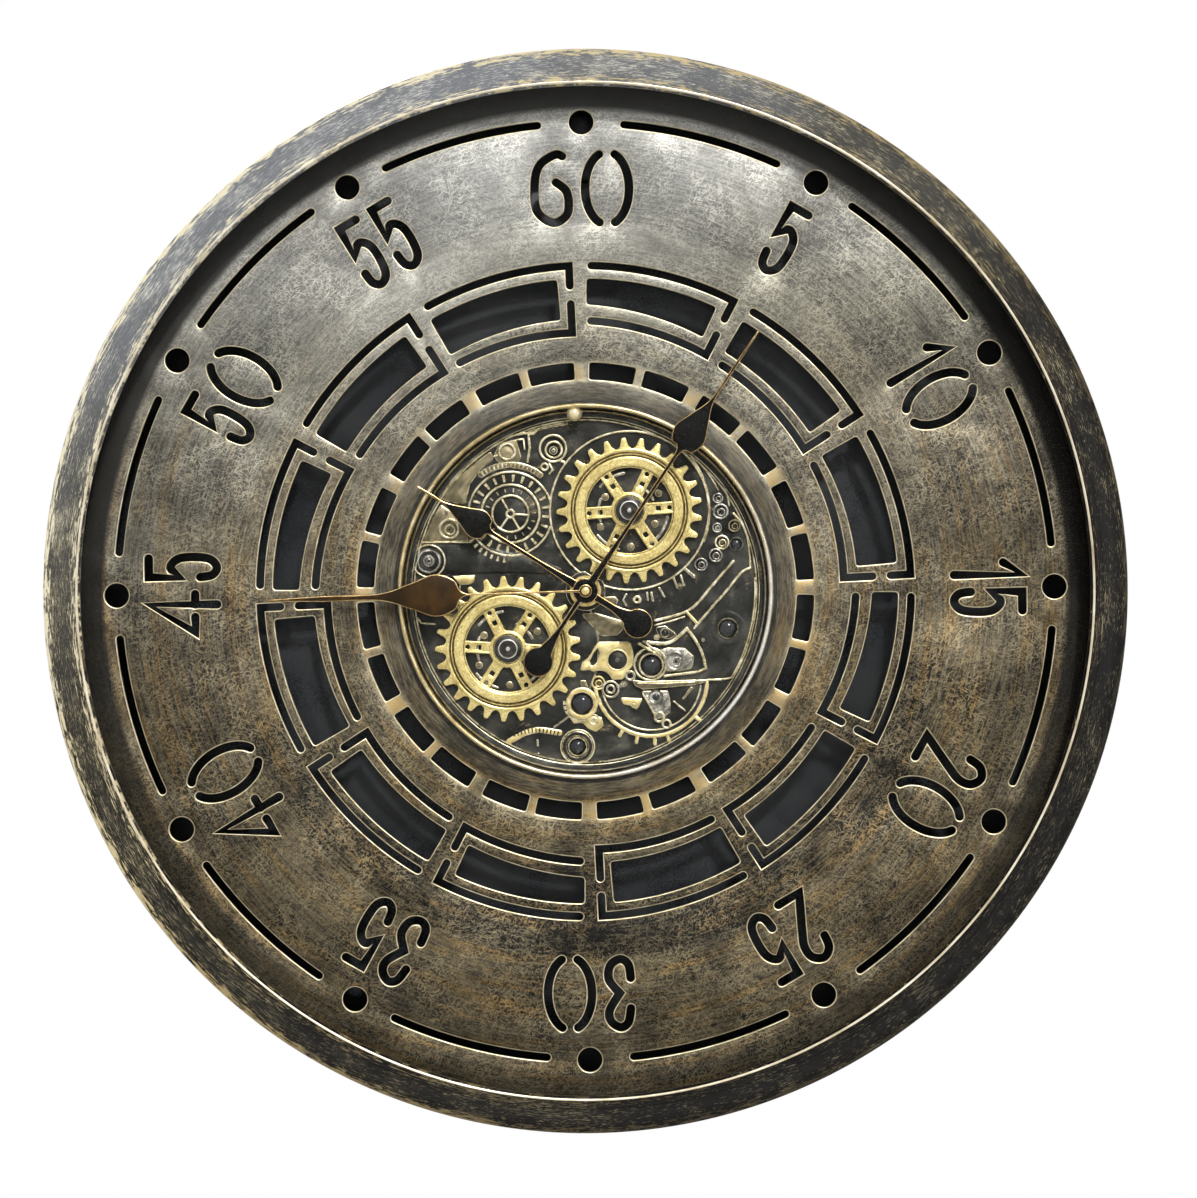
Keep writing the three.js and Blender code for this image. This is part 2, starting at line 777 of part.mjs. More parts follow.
function rightBridge() {
  return [
    reliefBoss(75.7, 44.9, [[5.4, 2.4]]),
    reliefBoss(76.2, 25.4, [[4.4, 2.4]]),
    reliefBar(vectors([[82.8, 15.2], [55.1, -11.2], [35.8, -19.2]]), 1.5, 1.6),
    reliefBar(vectors([[91.7, 12.1], [95.1, -11.6], [81.5, -48.5], [66.6, -51.4]]), 1.6, 1.8),
    reliefBoss(78.7, -21.8, [[8, 2.6]]),
  ];
}

function lowerBridge() {
  const arcWheel = [36, -50];
  return [
    reliefPlateau(vectors([[3.1, -31.5], [6.8, -27.8], [26.8, -28], [28.3, -33.2], [23, -42.1],
      [17.7, -49.4], [9, -45.6], [0, -40.4]]), 2.4),
    reliefBoss(36.3, -42.2, [[6.7, 3]]),
    reliefBoss(49.7, -39.3, [[5.9, 2.6]]),
    reliefBar(vectors([[33, -33], [56.5, -21.6], [67.5, -39.5], [65.2, -45.4]]), 1.8, 2.2),
    reliefBoss(12.5, -55.2, [[5.5, 2.8]]),
    reliefPlateau(vectors([[25.1, -48], [66, -49.2], [67.4, -52.4], [46, -53.4], [44.6, -72],
      [39.4, -73.4], [36.4, -58], [26, -52]]), 2),
    reliefBar(arcAround(...arcWheel, 31, 105, 240, 6), 1.8, 2),
    ...reliefTicks(...arcWheel, 31.4, 34.8, 162, 206, 4, 2.2, 2.2),
    reliefBoss(-2.8, -62.6, [[7.7, 2.8]]),
    reliefBoss(-5.3, -86.3, [[8.8, 2.6]]),
  ];
}

function arcAround(x, y, radius, fromAngle, toAngle, steps) {
  return moved(sweep(radius, radius, fromAngle, toAngle, steps), x, y);
}

// Display gear: toothed rim, raised band, spokes and hub in one cast piece
function displayGear(at, toothAngle, spokeAngle) {
  const outline = toothedOutline(gearTeeth, gearRoot, gearTip, 0.62, 0.22, toothAngle);
  const windows = [];
  for (let i = 0; i < gearSpokes; i++) {
    windows.push(gearWindow(spokeAngle + (360 / gearSpokes) * (i + 0.5)));
  }
  const plate = prism(moved(outline, ...at), gearRear, gearThick);
  const band = turned([
    [gearBandInner, gearFront - 0.6],
    [gearBandOuter, gearFront - 0.6],
    [gearBandOuter - 1, gearFront + gearBandHeight],
    [gearBandInner + 1, gearFront + gearBandHeight],
  ], bandSteps, ...at);
  const cut = (points) => prism(moved(points, ...at), gearRear - 1, gearThick + 2);
  const bore = rod(shaftRadius + fitGap, gearRear - 1, gearFront + 2, boreSteps, ...at);
  return shaped([plate, band], [...windows.map(cut), bore]);
}

// An opening between two spokes of even width
function gearWindow(middle) {
  const half = 180 / gearSpokes;
  const edge = (radius) => half - THREE.MathUtils.radToDeg(Math.asin(gearSpokeWidth / 2 / radius));
  const outer = gearBandInner - 0.4;
  return [
    ...sweep(outer, outer, middle + edge(outer), middle - edge(outer), 3),
    ...sweep(gearHubRadius, gearHubRadius, middle - edge(gearHubRadius), middle + edge(gearHubRadius), 1),
  ];
}

// Straight-flanked teeth; widths are shares of the pitch at the root and at the tip
function toothedOutline(teeth, root, tip, rootShare, tipShare, firstAngle) {
  const pitch = 360 / teeth;
  const points = [];
  for (let i = 0; i < teeth; i++) {
    const middle = firstAngle + pitch * (teeth - i);
    points.push(polar(root, middle + (pitch * rootShare) / 2));
    points.push(polar(tip, middle + (pitch * tipShare) / 2));
    points.push(polar(tip, middle - (pitch * tipShare) / 2));
    points.push(polar(root, middle - (pitch * rootShare) / 2));
  }
  return points;
}

// Shaft with the turned cap that shows in front of the gear
function gearShaft(at) {
  const capRear = gearFront + seatGap;
  return turned([
    [0, housingFloorRear],
    [shaftRadius, housingFloorRear],
    [shaftRadius, capRear],
    [shaftCapRadius, capRear],
    [shaftCapRadius - 0.8, capRear + 2],
    [2, capRear + 1.4],
    [1.4, capRear + 3],
    [0, capRear + 3],
  ], smallSteps, ...at);
}

function gearBush(at) {
  return turned([
    [shaftRadius + fitGap, reliefRear],
    [bushRadius, reliefRear],
    [bushRadius, gearRear - seatGap],
    [shaftRadius + fitGap, gearRear - seatGap],
  ], boreSteps, ...at);
}

// Hidden wheels: the pitch circles of wheel and pinion meet on the line between their axes
const driveCentres = Math.hypot(upperGearAt[0] - pinionAt[0], upperGearAt[1] - pinionAt[1]);
const driveModule = (2 * driveCentres) / (wheelTeeth + pinionTeeth);
const toothHeightOut = 0.62 * driveModule;
const toothHeightIn = 0.8 * driveModule;

function driveGear(at, teeth, firstAngle) {
  const pitchRadius = (driveModule * teeth) / 2;
  const outline = toothedOutline(teeth, pitchRadius - toothHeightIn, pitchRadius + toothHeightOut,
    0.66, 0.22, firstAngle);
  const bore = circlePoints(shaftRadius + fitGap, boreSteps, ...at);
  return prism(moved(outline, ...at), wheelRear, wheelThick, [bore]);
}

function clockAngleFrom(from, to) {
  return THREE.MathUtils.radToDeg(Math.atan2(to[0] - from[0], to[1] - from[1]));
}

// The tooth angle that puts a gap of the second gear on a tooth of the first
function meshingAngle(first, firstTeeth, firstAngle, second, secondTeeth) {
  const toSecond = clockAngleFrom(first, second);
  const firstPitch = 360 / firstTeeth;
  const secondPitch = 360 / secondTeeth;
  const ahead = (toSecond - firstAngle) / firstPitch;
  return toSecond + 180 + secondPitch * (0.5 + ahead);
}

// Clock movement

function movementCase() {
  const body = prism(roundedSquare(movementSide, 4), movementRear, movementFront - movementRear);
  const neck = rod(threadRadius, movementFront - 2, threadEnd, smallSteps);
  const bay = cellRadius * 2 + 0.8;
  const cuts = [
    block(movementSide - 1.6, coverHeight + 0.6, 4, 0, coverMiddle, movementRear + coverThick + seatGap - 4),
    block(cellLength + 1, bay, bay + 0.2, 0, clockCellAt, movementRear - 0.2),
    rod(hourPipeRadius + fitGap, movementFront - 8, threadEnd + 1, smallSteps),
    rod(knobShaft + fitGap, movementRear - 1, movementRear + 6, boreSteps, 0, knobOffset),
  ];
  return shaped([body, neck], cuts);
}

function roundedSquare(side, radius) {
  const half = side / 2 - radius;
  const outline = [];
  [[1, 1], [-1, 1], [-1, -1], [1, -1]].forEach(([sx, sy], i) => {
    for (let step = 0; step <= 2; step++) {
      const turn = (i * Math.PI) / 2 + (step * Math.PI) / 4;
      const x = sx * half + radius * Math.cos(turn);
      outline.push(new THREE.Vector2(x, sy * half + radius * Math.sin(turn)));
    }
  });
  return outline;
}

function movementCover() {
  const plate = block(movementSide - 2.4, coverHeight, coverThick, 0, coverMiddle, movementRear);
  const hole = rod(knobShaft + fitGap, movementRear - 1, movementRear + 3, boreSteps, 0, knobOffset);
  return shaped([plate], [hole]);
}

function settingKnob() {
  const rear = movementRear - seatGap - knobHeight;
  const outline = toothedOutline(10, knobRadius - 0.6, knobRadius, 0.6, 0.4, 0);
  const grip = prism(moved(outline, 0, knobOffset), rear, knobHeight);
  return shaped([grip, rod(knobShaft, rear + 1, movementRear + 5.4, boreSteps, 0, knobOffset)]);
}

// A cell lying along X, with its button at the right
function cell(y, level) {
  const half = cellLength / 2;
  const body = new THREE.LatheGeometry(vectors([[0, -half], [cellRadius, -half],
    [cellRadius, half - 1.2], [2.6, half - 1.2], [2.6, half], [0, half]]), smallSteps);
  return body.rotateZ(-Math.PI / 2).translate(0, y, level);
}

function centreNut() {
  const radius = nutAcross / 2 / Math.cos(Math.PI / 6);
  const bore = circlePoints(threadRadius + fitGap, smallSteps);
  return prism(circlePoints(radius, 6), nutRear, nutThick, [bore]);
}

// Hands

// A leaf-shaped hand that points to 12: down its right side from tip to tail, then mirrored
function handOutline(hand) {
  const { lerp } = THREE.MathUtils;
  const hubEdge = discEdge(0, hand.hub, hand.stemRoot, hand.tail ? hand.stem : 0);
  const blade = smooth([
    [0.3, hand.tip],
    [hand.needle * 0.8, lerp(hand.neck, hand.tip, 0.5)],
    [hand.needle, hand.neck],
    [hand.leaf * 0.62, lerp(hand.wide, hand.neck, 0.42)],
    [hand.leaf, hand.wide],
    [hand.leaf * 0.72, lerp(hand.wide, hand.base, 0.58)],
    [hand.stem, hand.base],
    [hand.stem, hand.base * 0.5],
    [hubEdge[0].x, hubEdge[0].y],
  ], 16);
  const right = [...blade, ...hubEdge.slice(1)];
  if (hand.tail) {
    right.push(...discEdge(-hand.tail, hand.tailDisc, hand.stem, 0));
  }
  const left = right.filter((p) => p.x > 1e-6).map((p) => new THREE.Vector2(-p.x, p.y));
  return [...right, ...left.reverse()];
}

// The right-hand edge of a disc between necks of the given half widths above and below it
function discEdge(centre, radius, above, below) {
  const from = 90 - THREE.MathUtils.radToDeg(Math.asin(above / radius));
  const to = THREE.MathUtils.radToDeg(Math.asin(below / radius)) - 90;
  return ellipseArc(0, centre, radius, radius, from, to, 5);
}

function handSolid(hand, rear, clockAngle) {
  const outline = rotated(handOutline(hand), clockAngle);
  return prism(outline, rear, handThick, [circlePoints(hand.bore, smallSteps)]);
}

const hourHand = {
  hub: 6.4, bore: hourPipeRadius + fitGap, stemRoot: 2.4, stem: 1.5, base: 60, wide: 70.5,
  leaf: 8.4, neck: 91, needle: 1, tip: 109.5, tail: 34, tailDisc: 8.2,
};
const minuteHand = {
  hub: 7, bore: minutePipeRadius + fitGap, stemRoot: 2.2, stem: 1.1, base: 90, wide: 104,
  leaf: 9.4, neck: 127, needle: 1.1, tip: 172, tail: 47, tailDisc: 8.2,
};
const secondHand = {
  hub: 3.6, bore: spindleRadius + fitGap, stemRoot: 0.7, stem: 0.5, base: 65, wide: 83,
  leaf: 11.6, neck: 114, needle: 1.9, tip: 174.5, tail: 0,
};

// A turned brass cap on the tip of the spindle
function secondCap() {
  const rear = secondHandRear + handThick + 0.2;
  const cap = turned([
    [0, rear],
    [2.5, rear],
    [2.5, rear + 1.8],
    [1.5, rear + 2.6],
    [0, rear + 2.6],
  ], boreSteps);
  return shaped([cap], [rod(spindleRadius + fitGap, rear - 1, rear + 1.4, boreSteps)]);
}

// Gear motor, its battery box and wires

function gearMotor() {
  const front = movementFront;
  const body = rod(motorRadius, motorRear, front, smallSteps, ...pinionAt);
  const ears = motorScrews().map((at) => rod(3.4, front - 2, front, boreSteps, at.x, at.y));
  const bridge = strokeOutline(motorScrews(), 6);
  const holes = motorScrews().map((at) => screwHole(at, front - 4, front + 1));
  holes.push(rod(shaftRadius + fitGap, motorRear + 3, front + 1, boreSteps, ...pinionAt));
  return shaped([body, ...ears, prism(bridge, front - 2, 2)], holes);
}

function batteryBox() {
  const [x, y] = boxAt;
  const height = movementFront - boxRear;
  const body = block(boxLength, boxWidth, height, x, y, boxRear);
  const switchAt = boxTop + switchBlock[1] / 2 - 0.5;
  const housing = block(switchBlock[0], switchBlock[1] + 1, height, x, switchAt, boxRear);
  const cavity = block(cellLength + 1.2, boxWidth - 3, height - 1.4 + 1, x, y, boxRear - 1);
  const slot = block(9, 4.4, 5, x, switchAt + 0.6, boxRear - 1);
  return shaped([body, housing], [cavity, slot]);
}

function batteryLid() {
  const [x, y] = boxAt;
  const rear = boxRear - seatGap - 1.4;
  const plate = block(boxLength - 2, boxWidth - 1, 1.4, x, y, rear);
  const ridges = [-2, 0, 2].map((offset) => block(16, 0.8, 0.6, x, y - boxWidth / 2 + 6 + offset, rear - 0.5));
  return shaped([plate, ...ridges]);
}

function switchSlider() {
  const y = boxTop + switchBlock[1] / 2 + 0.1;
  const x = boxAt[0] - switchTravel / 2;
  return shaped([
    block(4.2, 3.6, 3.4, x, y, boxRear),
    block(2, 3.6, 1.4, x, y, boxRear - 1.2),
  ]);
}

// A wire from the battery box round the movement to the motor
function wire(offset) {
  const level = 16.5;
  const route = new THREE.CatmullRomCurve3([
    new THREE.Vector3(-boxLength / 2 - seatGap, -54 - offset, level),
    new THREE.Vector3(-33 - offset, -51 - offset, level),
    new THREE.Vector3(-36 - offset, -38, level),
    new THREE.Vector3(-36.5 - offset, 0, level),
    new THREE.Vector3(-38.5 - offset * 1.6, pinionAt[1] - motorRadius - 0.4, level),
  ]);
  const section = new THREE.Shape(circlePoints(wireRadius, 5));
  return new THREE.ExtrudeGeometry(section, { steps: 9, bevelEnabled: false, extrudePath: route });
}

// Assembly

const frame = frameRing();
addPiece('frame_ring', frame.geometry, frameBronze);
addPiece('glass_lens', rod(dialRadius, glassRear, glassTop, ringSteps), clearGlass);
addPiece('lens_spacer', tube(dialRadius, dialRadius - spacerWall, spacerRear, spacerTop, ringSteps),
  blackPlastic);
addPiece('dial_plate', dialPlate(), dialBronze);
addPiece('back_pan', backPan(frame.bossCircle), blackPlastic);
for (let i = 0; i < frameScrews; i++) {
  const at = polar(frame.bossCircle, 360 * (i + 0.5) / frameScrews);
  addPiece(`frame_screw_${i + 1}`, screw(at, panRear, 14), steel);
}
addPiece('hanger_plate', hangerPlate(), steel);
hangerScrews().forEach((at, i) => {
  addPiece(`hanger_screw_${i + 1}`, screw(at, panRear - seatGap - hangerThick, 6), steel);
});

addPiece('module_housing', moduleHousing(), greyPlastic);
columnAngles.forEach((angle, i) => {
  addPiece(`module_screw_${i + 1}`, screw(polar(columnCircle, angle), panRear, 10), steel);
});
addPiece('relief_plate', reliefPlate(), reliefBronze);
addPiece('bezel_ring', bezelRing(), bezelBronze);
addPiece('bezel_stud', bezelStud(), plainBrass);

addPiece('upper_gear', displayGear(upperGearAt, upperToothAngle, upperSpokeAngle), gearBrass);
addPiece('lower_gear', displayGear(lowerGearAt, lowerToothAngle, lowerSpokeAngle), gearBrass);
addPiece('upper_shaft', gearShaft(upperGearAt), darkSteel);
addPiece('lower_shaft', gearShaft(lowerGearAt), darkSteel);
addPiece('upper_bush', gearBush(upperGearAt), plainBrass);
addPiece('lower_bush', gearBush(lowerGearAt), plainBrass);
const upperWheelAngle = 0;
const pinionAngle = meshingAngle(upperGearAt, wheelTeeth, upperWheelAngle, pinionAt, pinionTeeth);
const lowerWheelAngle = meshingAngle(pinionAt, pinionTeeth, pinionAngle, lowerGearAt, wheelTeeth);
addPiece('upper_wheel', driveGear(upperGearAt, wheelTeeth, upperWheelAngle), whitePlastic);
addPiece('lower_wheel', driveGear(lowerGearAt, wheelTeeth, lowerWheelAngle), whitePlastic);
addPiece('motor_pinion', driveGear(pinionAt, pinionTeeth, pinionAngle), whitePlastic);
addPiece('motor_shaft', rod(shaftRadius, motorRear + 3.4, wheelRear + wheelThick, boreSteps, ...pinionAt),
  steel);
addPiece('gear_motor', gearMotor(), greyPlastic);
motorScrews().forEach((at, i) => {
  addPiece(`motor_screw_${i + 1}`, screw(at, movementFront - 2, 3.6), steel);
});

addPiece('battery_box', batteryBox(), blackPlastic);
addPiece('battery_lid', batteryLid(), blackPlastic);
addPiece('switch_slider', switchSlider(), whitePlastic);
const cellLevel = boxRear + 0.8 + cellRadius;
addPiece('motor_cell_1', cell(boxAt[1] + cellRadius + 0.3, cellLevel), cellWrap);
addPiece('motor_cell_2', cell(boxAt[1] - cellRadius - 0.3, cellLevel), cellWrap);
addPiece('wire_red', wire(0), redWire);
addPiece('wire_black', wire(2), blackWire);

addPiece('movement_case', movementCase(), blackPlastic);
addPiece('movement_cover', movementCover(), blackPlastic);
addPiece('setting_knob', settingKnob(), greyPlastic);
addPiece('clock_cell', cell(clockCellAt, movementRear + 0.3 + cellRadius), cellWrap);

addPiece('nut_washer', tube(washerRadius, threadRadius + fitGap, washerRear, washerRear + washerThick, smallSteps),
  plainBrass);
addPiece('centre_nut', centreNut(), plainBrass);
addPiece('hour_pipe', tube(hourPipeRadius, minutePipeRadius + fitGap, movementFront - 6,
  hourHandRear + handThick + 0.4, boreSteps), whitePlastic);
addPiece('minute_pipe', tube(minutePipeRadius, spindleRadius + fitGap, movementFront - 6,
  minuteHandRear + handThick + 0.4, boreSteps), plainBrass);
addPiece('second_spindle', rod(spindleRadius, movementFront - 6, secondHandRear + handThick + 1, boreSteps), steel);
addPiece('hour_hand', handSolid(hourHand, hourHandRear, hourAngle), handBlack);
addPiece('minute_hand', handSolid(minuteHand, minuteHandRear, minuteAngle), handBlack);
addPiece('second_hand', handSolid(secondHand, secondHandRear, secondAngle), handBrown);
addPiece('second_cap', secondCap(), plainBrass);

clock.rotation.x = Math.PI / 2;
const upright = new THREE.Group();
upright.add(clock);

export default upright;
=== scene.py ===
import math

import bpy
from mathutils import Matrix, Vector
from mathutils.geometry import delaunay_2d_cdt


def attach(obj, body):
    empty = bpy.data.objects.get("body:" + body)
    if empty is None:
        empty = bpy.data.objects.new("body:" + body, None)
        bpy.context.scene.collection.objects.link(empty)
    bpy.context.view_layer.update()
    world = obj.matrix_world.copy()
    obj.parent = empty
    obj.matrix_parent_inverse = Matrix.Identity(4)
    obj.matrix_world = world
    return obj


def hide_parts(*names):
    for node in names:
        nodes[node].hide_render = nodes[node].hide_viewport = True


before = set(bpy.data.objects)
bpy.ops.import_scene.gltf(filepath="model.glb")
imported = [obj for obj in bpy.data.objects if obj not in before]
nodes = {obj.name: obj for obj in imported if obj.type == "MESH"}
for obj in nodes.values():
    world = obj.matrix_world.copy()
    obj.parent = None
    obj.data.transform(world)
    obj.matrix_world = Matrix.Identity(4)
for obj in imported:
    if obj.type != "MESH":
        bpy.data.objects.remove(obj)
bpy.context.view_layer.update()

# Sizes below are millimetres on the dial: X right, Y up, Z out from the wall; angles are the clock's degrees


def place(x, y, z):
    return Vector((x, -z, y)) * 0.001


def srgb(code):
    parts = [int(code[i:i + 2], 16) / 255 for i in (1, 3, 5)]
    return (*[p / 12.92 if p <= 0.04045 else ((p + 0.055) / 1.055) ** 2.4 for p in parts], 1.0)


def add(tree, kind, inputs=None, stops=None, **settings):
    # Inputs are values, sockets, or nodes that give their first output
    node = tree.nodes.new(kind)
    for name, value in settings.items():
        setattr(node, name, value)
    for key, value in (inputs or {}).items():
        if isinstance(value, bpy.types.Node):
            value = value.outputs[0]
        if isinstance(value, bpy.types.NodeSocket):
            tree.links.new(value, node.inputs[key])
        else:
            node.inputs[key].default_value = srgb(value) if isinstance(value, str) else value
    if stops:
        ramp = node.color_ramp
        while len(ramp.elements) < len(stops):
            ramp.elements.new(1.0)
        for element, (at, shade) in zip(ramp.elements, stops):
            element.position = at
            element.color = srgb(shade) if isinstance(shade, str) else (shade, shade, shade, 1.0)
    return node


# Stage: white surroundings, a pale floor and two soft suns

studio = {
    "cameraAway": 2047.0, "pixel": 0.5531, "imageSize": (1197, 1198), "centrePixel": (585.5, 591.0),
    "ringLevel": 47.0,  # the ring's widest edge, out from the wall
    "roll": 0.55,  # the clock hangs this much anticlockwise, so the camera leans the other way
    "ambient": 0.42, "key": 2.1, "keyTilt": (31.0, 11.0), "keySoftness": 5.0,
    "fill": 1.1, "fillFrom": (-0.4, 0.7, -1), "fillSoftness": 25.0,
    "floorLevel": -560.0, "floorReach": 3500, "floorFront": -900, "floorTone": "#e9e8e6", "floorGlow": 0.25,
}


def buildStage(looks):
    scene = bpy.context.scene
    scene.view_settings.view_transform = "Standard"
    world = bpy.data.worlds.new("white surroundings")
    world.use_nodes = True
    scene.world = world
    tree = world.node_tree
    tree.nodes.clear()
    path = add(tree, "ShaderNodeLightPath")
    seen = add(tree, "ShaderNodeMath", {0: path.outputs["Is Camera Ray"], 1: path.outputs["Is Glossy Ray"]},
               operation="MAXIMUM")
    seen = add(tree, "ShaderNodeMath", {0: seen, 1: path.outputs["Is Transmission Ray"]}, operation="MAXIMUM")
    strength = add(tree, "ShaderNodeMix", {0: seen, 2: looks["ambient"], 3: 1.0}, data_type="FLOAT")
    background = add(tree, "ShaderNodeBackground", {"Color": "#ffffff", "Strength": strength})
    add(tree, "ShaderNodeOutputWorld", {"Surface": background})

    floor, floorTree, floorShader = newMaterial("pale painted floor", {"Base Color": looks["floorTone"],
                                                                       "Roughness": 0.6})
    level, reach, front = looks["floorLevel"], looks["floorReach"], looks["floorFront"]
    corners = [(-reach, level, front), (reach, level, front), (reach, level, reach), (-reach, level, reach)]
    piece = makePiece("floor", [(corners, [(3, 2, 1, 0)], [0])], [floor])
    # The camera sees the floor a little brighter than it lights the clock
    lightPath = add(floorTree, "ShaderNodeLightPath")
    glow = add(floorTree, "ShaderNodeEmission", {"Color": "#ffffff", "Strength": looks["floorGlow"]})
    lit = add(floorTree, "ShaderNodeAddShader", {0: floorShader, 1: glow})
    shown = add(floorTree, "ShaderNodeMixShader", {0: lightPath.outputs["Is Camera Ray"], 1: floorShader, 2: lit})
    floorTree.links.new(shown.outputs[0], floorTree.nodes["Material Output"].inputs["Surface"])

    up, side = (math.radians(a) for a in looks["keyTilt"])
    lampFrom = {
        "key": (place(math.tan(side), math.tan(up), 1), looks["key"], looks["keySoftness"]),
        "rear fill": (place(*looks["fillFrom"]), looks["fill"], looks["fillSoftness"]),
    }
    for name, (toward, strength, softness) in lampFrom.items():
        lamp = bpy.data.lights.new(name, "SUN")
        lamp.energy = strength
        lamp.angle = math.radians(softness)
        holder = bpy.data.objects.new(name, lamp)
        holder.rotation_euler = toward.to_track_quat("Z", "Y").to_euler()
        scene.collection.objects.link(holder)

    camera = bpy.data.cameras.new("camera")
    wide, high = looks["imageSize"]
    camera.sensor_width = 36.0
    reach = looks["cameraAway"] - looks["ringLevel"]
    camera.lens = 36.0 * reach / (max(wide, high) * looks["pixel"])
    holder = bpy.data.objects.new("camera", camera)
    roll = math.radians(looks["roll"])
    right = (wide / 2 - looks["centrePixel"][0]) * looks["pixel"]
    down = (high / 2 - looks["centrePixel"][1]) * looks["pixel"]
    x = right * math.cos(roll) + -down * math.sin(roll)
    y = -right * math.sin(roll) + -down * math.cos(roll)
    holder.location = place(x, y, looks["cameraAway"])
    holder.rotation_euler = (Matrix.Rotation(math.pi / 2, 4, "X") @ Matrix.Rotation(-roll, 4, "Z")).to_euler()
    scene.collection.objects.link(holder)
    scene.camera = holder


# Meshes: a shell is (points, faces, slot of each face); several shells make one piece


def makePiece(name, shells, materials, sharpAngle=34.0):
    points, faces, slots = [], [], []
    for shellPoints, shellFaces, shellSlots in shells:
        start = len(points)
        points += [place(*p) for p in shellPoints]
        faces += [[start + i for i in face] for face in shellFaces]
        slots += shellSlots
    mesh = bpy.data.meshes.new(name)
    mesh.from_pydata(points, [], faces)
    for material in materials:
        mesh.materials.append(material)
    mesh.polygons.foreach_set("material_index", slots)
    mesh.polygons.foreach_set("use_smooth", [True] * len(faces))
    mesh.set_sharp_from_angle(angle=math.radians(sharpAngle))
    mesh.update()
    piece = bpy.data.objects.new(name, mesh)
    bpy.context.scene.collection.objects.link(piece)
    return piece


def fit(piece, body, slot, *replaced):
    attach(piece, body)
    if replaced:
        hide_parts(*replaced)


def newMaterial(name, surface=None):
    material = bpy.data.materials.new(name)
    material.use_nodes = True
    shader = material.node_tree.nodes["Principled BSDF"]
    for key, value in (surface or {}).items():
        shader.inputs[key].default_value = srgb(value) if isinstance(value, str) else value
    return material, material.node_tree, shader


def polar(radius, clockAngle):
    turn = math.radians(clockAngle)
    return Vector((radius * math.sin(turn), radius * math.cos(turn)))


def mixed(a, b, share):
    return a + (b - a) * share


def circle(radius, steps, x=0.0, y=0.0):
    turns = [2 * math.pi * i / steps for i in range(steps)]
    return [Vector((x + radius * math.cos(t), y + radius * math.sin(t))) for t in turns]


def sweep(fromRadius, toRadius, fromAngle, toAngle, steps):
    return [polar(mixed(fromRadius, toRadius, i / steps), mixed(fromAngle, toAngle, i / steps))
            for i in range(steps + 1)]


def sweepAt(x, y, radius, fromAngle, toAngle, steps):
    return [p + Vector((x, y)) for p in sweep(radius, radius, fromAngle, toAngle, steps)]


def spline(points, steps):
    last = len(points) - 1
    line = []
    for i in range(steps + 1):
        at = last * i / steps
        k = int(at + 1e-9)
        t = max(at - k, 0.0)
        a, b, c, d = (Vector(points[min(max(j, 0), last)]) for j in (k - 1, k, k + 1, k + 2))
        v0, v1 = (c - a) / 2, (d - b) / 2
        line.append((2 * b - 2 * c + v0 + v1) * t ** 3 + (3 * c - 3 * b - 2 * v0 - v1) * t * t + v0 * t + b)
    return line


def joined(*runs, clear=4.2):
    # Runs that meet at a sharp corner, with the points next to the corner left out
    line = [Vector(p) for p in runs[0]]
    for run in runs[1:]:
        run = [Vector(p) for p in run]
        corner = run[0] if (run[0] - line[-1]).length < 0.01 else line[-1]
        line = [p for p in line if (p - corner).length > clear or p is line[0]]
        line.append(corner)
        line += [p for p in run if (p - corner).length > clear or p is run[-1]]
    return line


def turned(points, clockAngle, x=0.0, y=0.0):
    spin = Matrix.Rotation(-math.radians(clockAngle), 2)
    return [spin @ Vector(p) + Vector((x, y)) for p in points]


def stroke(line, width, cap=7):
    # Outline of a groove of even width: round ends, mitred bends
    line = [Vector(p) for p in line]
    half = width / 2
    left, right = [], []
    for i, point in enumerate(line):
        before = (point - line[i - 1]).normalized() if i else None
        after = (line[i + 1] - point).normalized() if i < len(line) - 1 else None
        first, second = before or after, after or before
        along = (first + second).normalized()
        side = Vector((-along.y, along.x))
        reach = half / max(0.6, side.dot(Vector((-first.y, first.x))))
        left.append(point + side * reach)
        right.append(point - side * reach)
    ends = []
    for point, toward in ((line[-1], line[-2]), (line[0], line[1])):
        out = (point - toward).normalized()
        turns = [mixed(90, -90, i / (cap + 1)) for i in range(1, cap + 1)]
        ends.append([point + Matrix.Rotation(math.radians(a), 2) @ out * half for a in turns])
    return left + ends[0] + right[::-1] + ends[1]


def rounded(outline, radius, steps=4):
    # Corners sharper than 35 degrees get an arc
    result = []
    count = len(outline)
    for i, point in enumerate(outline):
        before, after = outline[i - 1] - point, outline[(i + 1) % count] - point
        turn = math.pi - before.angle(after)
        if turn < math.radians(35):
            result.append(point)
            continue
        reach = min(radius * math.tan(turn / 2), before.length * 0.48, after.length * 0.48)
        start, end = point + before.normalized() * reach, point + after.normalized() * reach
        for k in range(steps + 1):
            t = k / steps
            result.append(start * (1 - t) ** 2 + point * 2 * t * (1 - t) + end * t * t)
    return result


def signedArea(outline):
    return sum(a.x * b.y - b.x * a.y for a, b in zip(outline, outline[1:] + outline[:1])) / 2


def inset(outline, distance):
    # Moves a loop to its left, which is into the material; edges too short for it shrink to a point
    result = []
    count = len(outline)
    for i, point in enumerate(outline):
        before = (point - outline[i - 1]).normalized()
        after = (outline[(i + 1) % count] - point).normalized()
        first, second = Vector((-before.y, before.x)), Vector((-after.y, after.x))
        side = first + second
        side = side.normalized() if side.length > 1e-6 else first
        result.append(point + side * (distance / max(0.5, side.dot(first))))
    for _ in range(30):
        turnedRound = False
        for i in range(count):
            j = (i + 1) % count
            edge = (outline[j] - outline[i]).normalized()
            if (result[j] - result[i]).dot(edge) < 0.0004:
                middle = (result[i] + result[j]) / 2
                result[i], result[j] = middle - edge * 0.0005, middle + edge * 0.0005
                turnedRound = True
        if not turnedRound:
            break
    return result


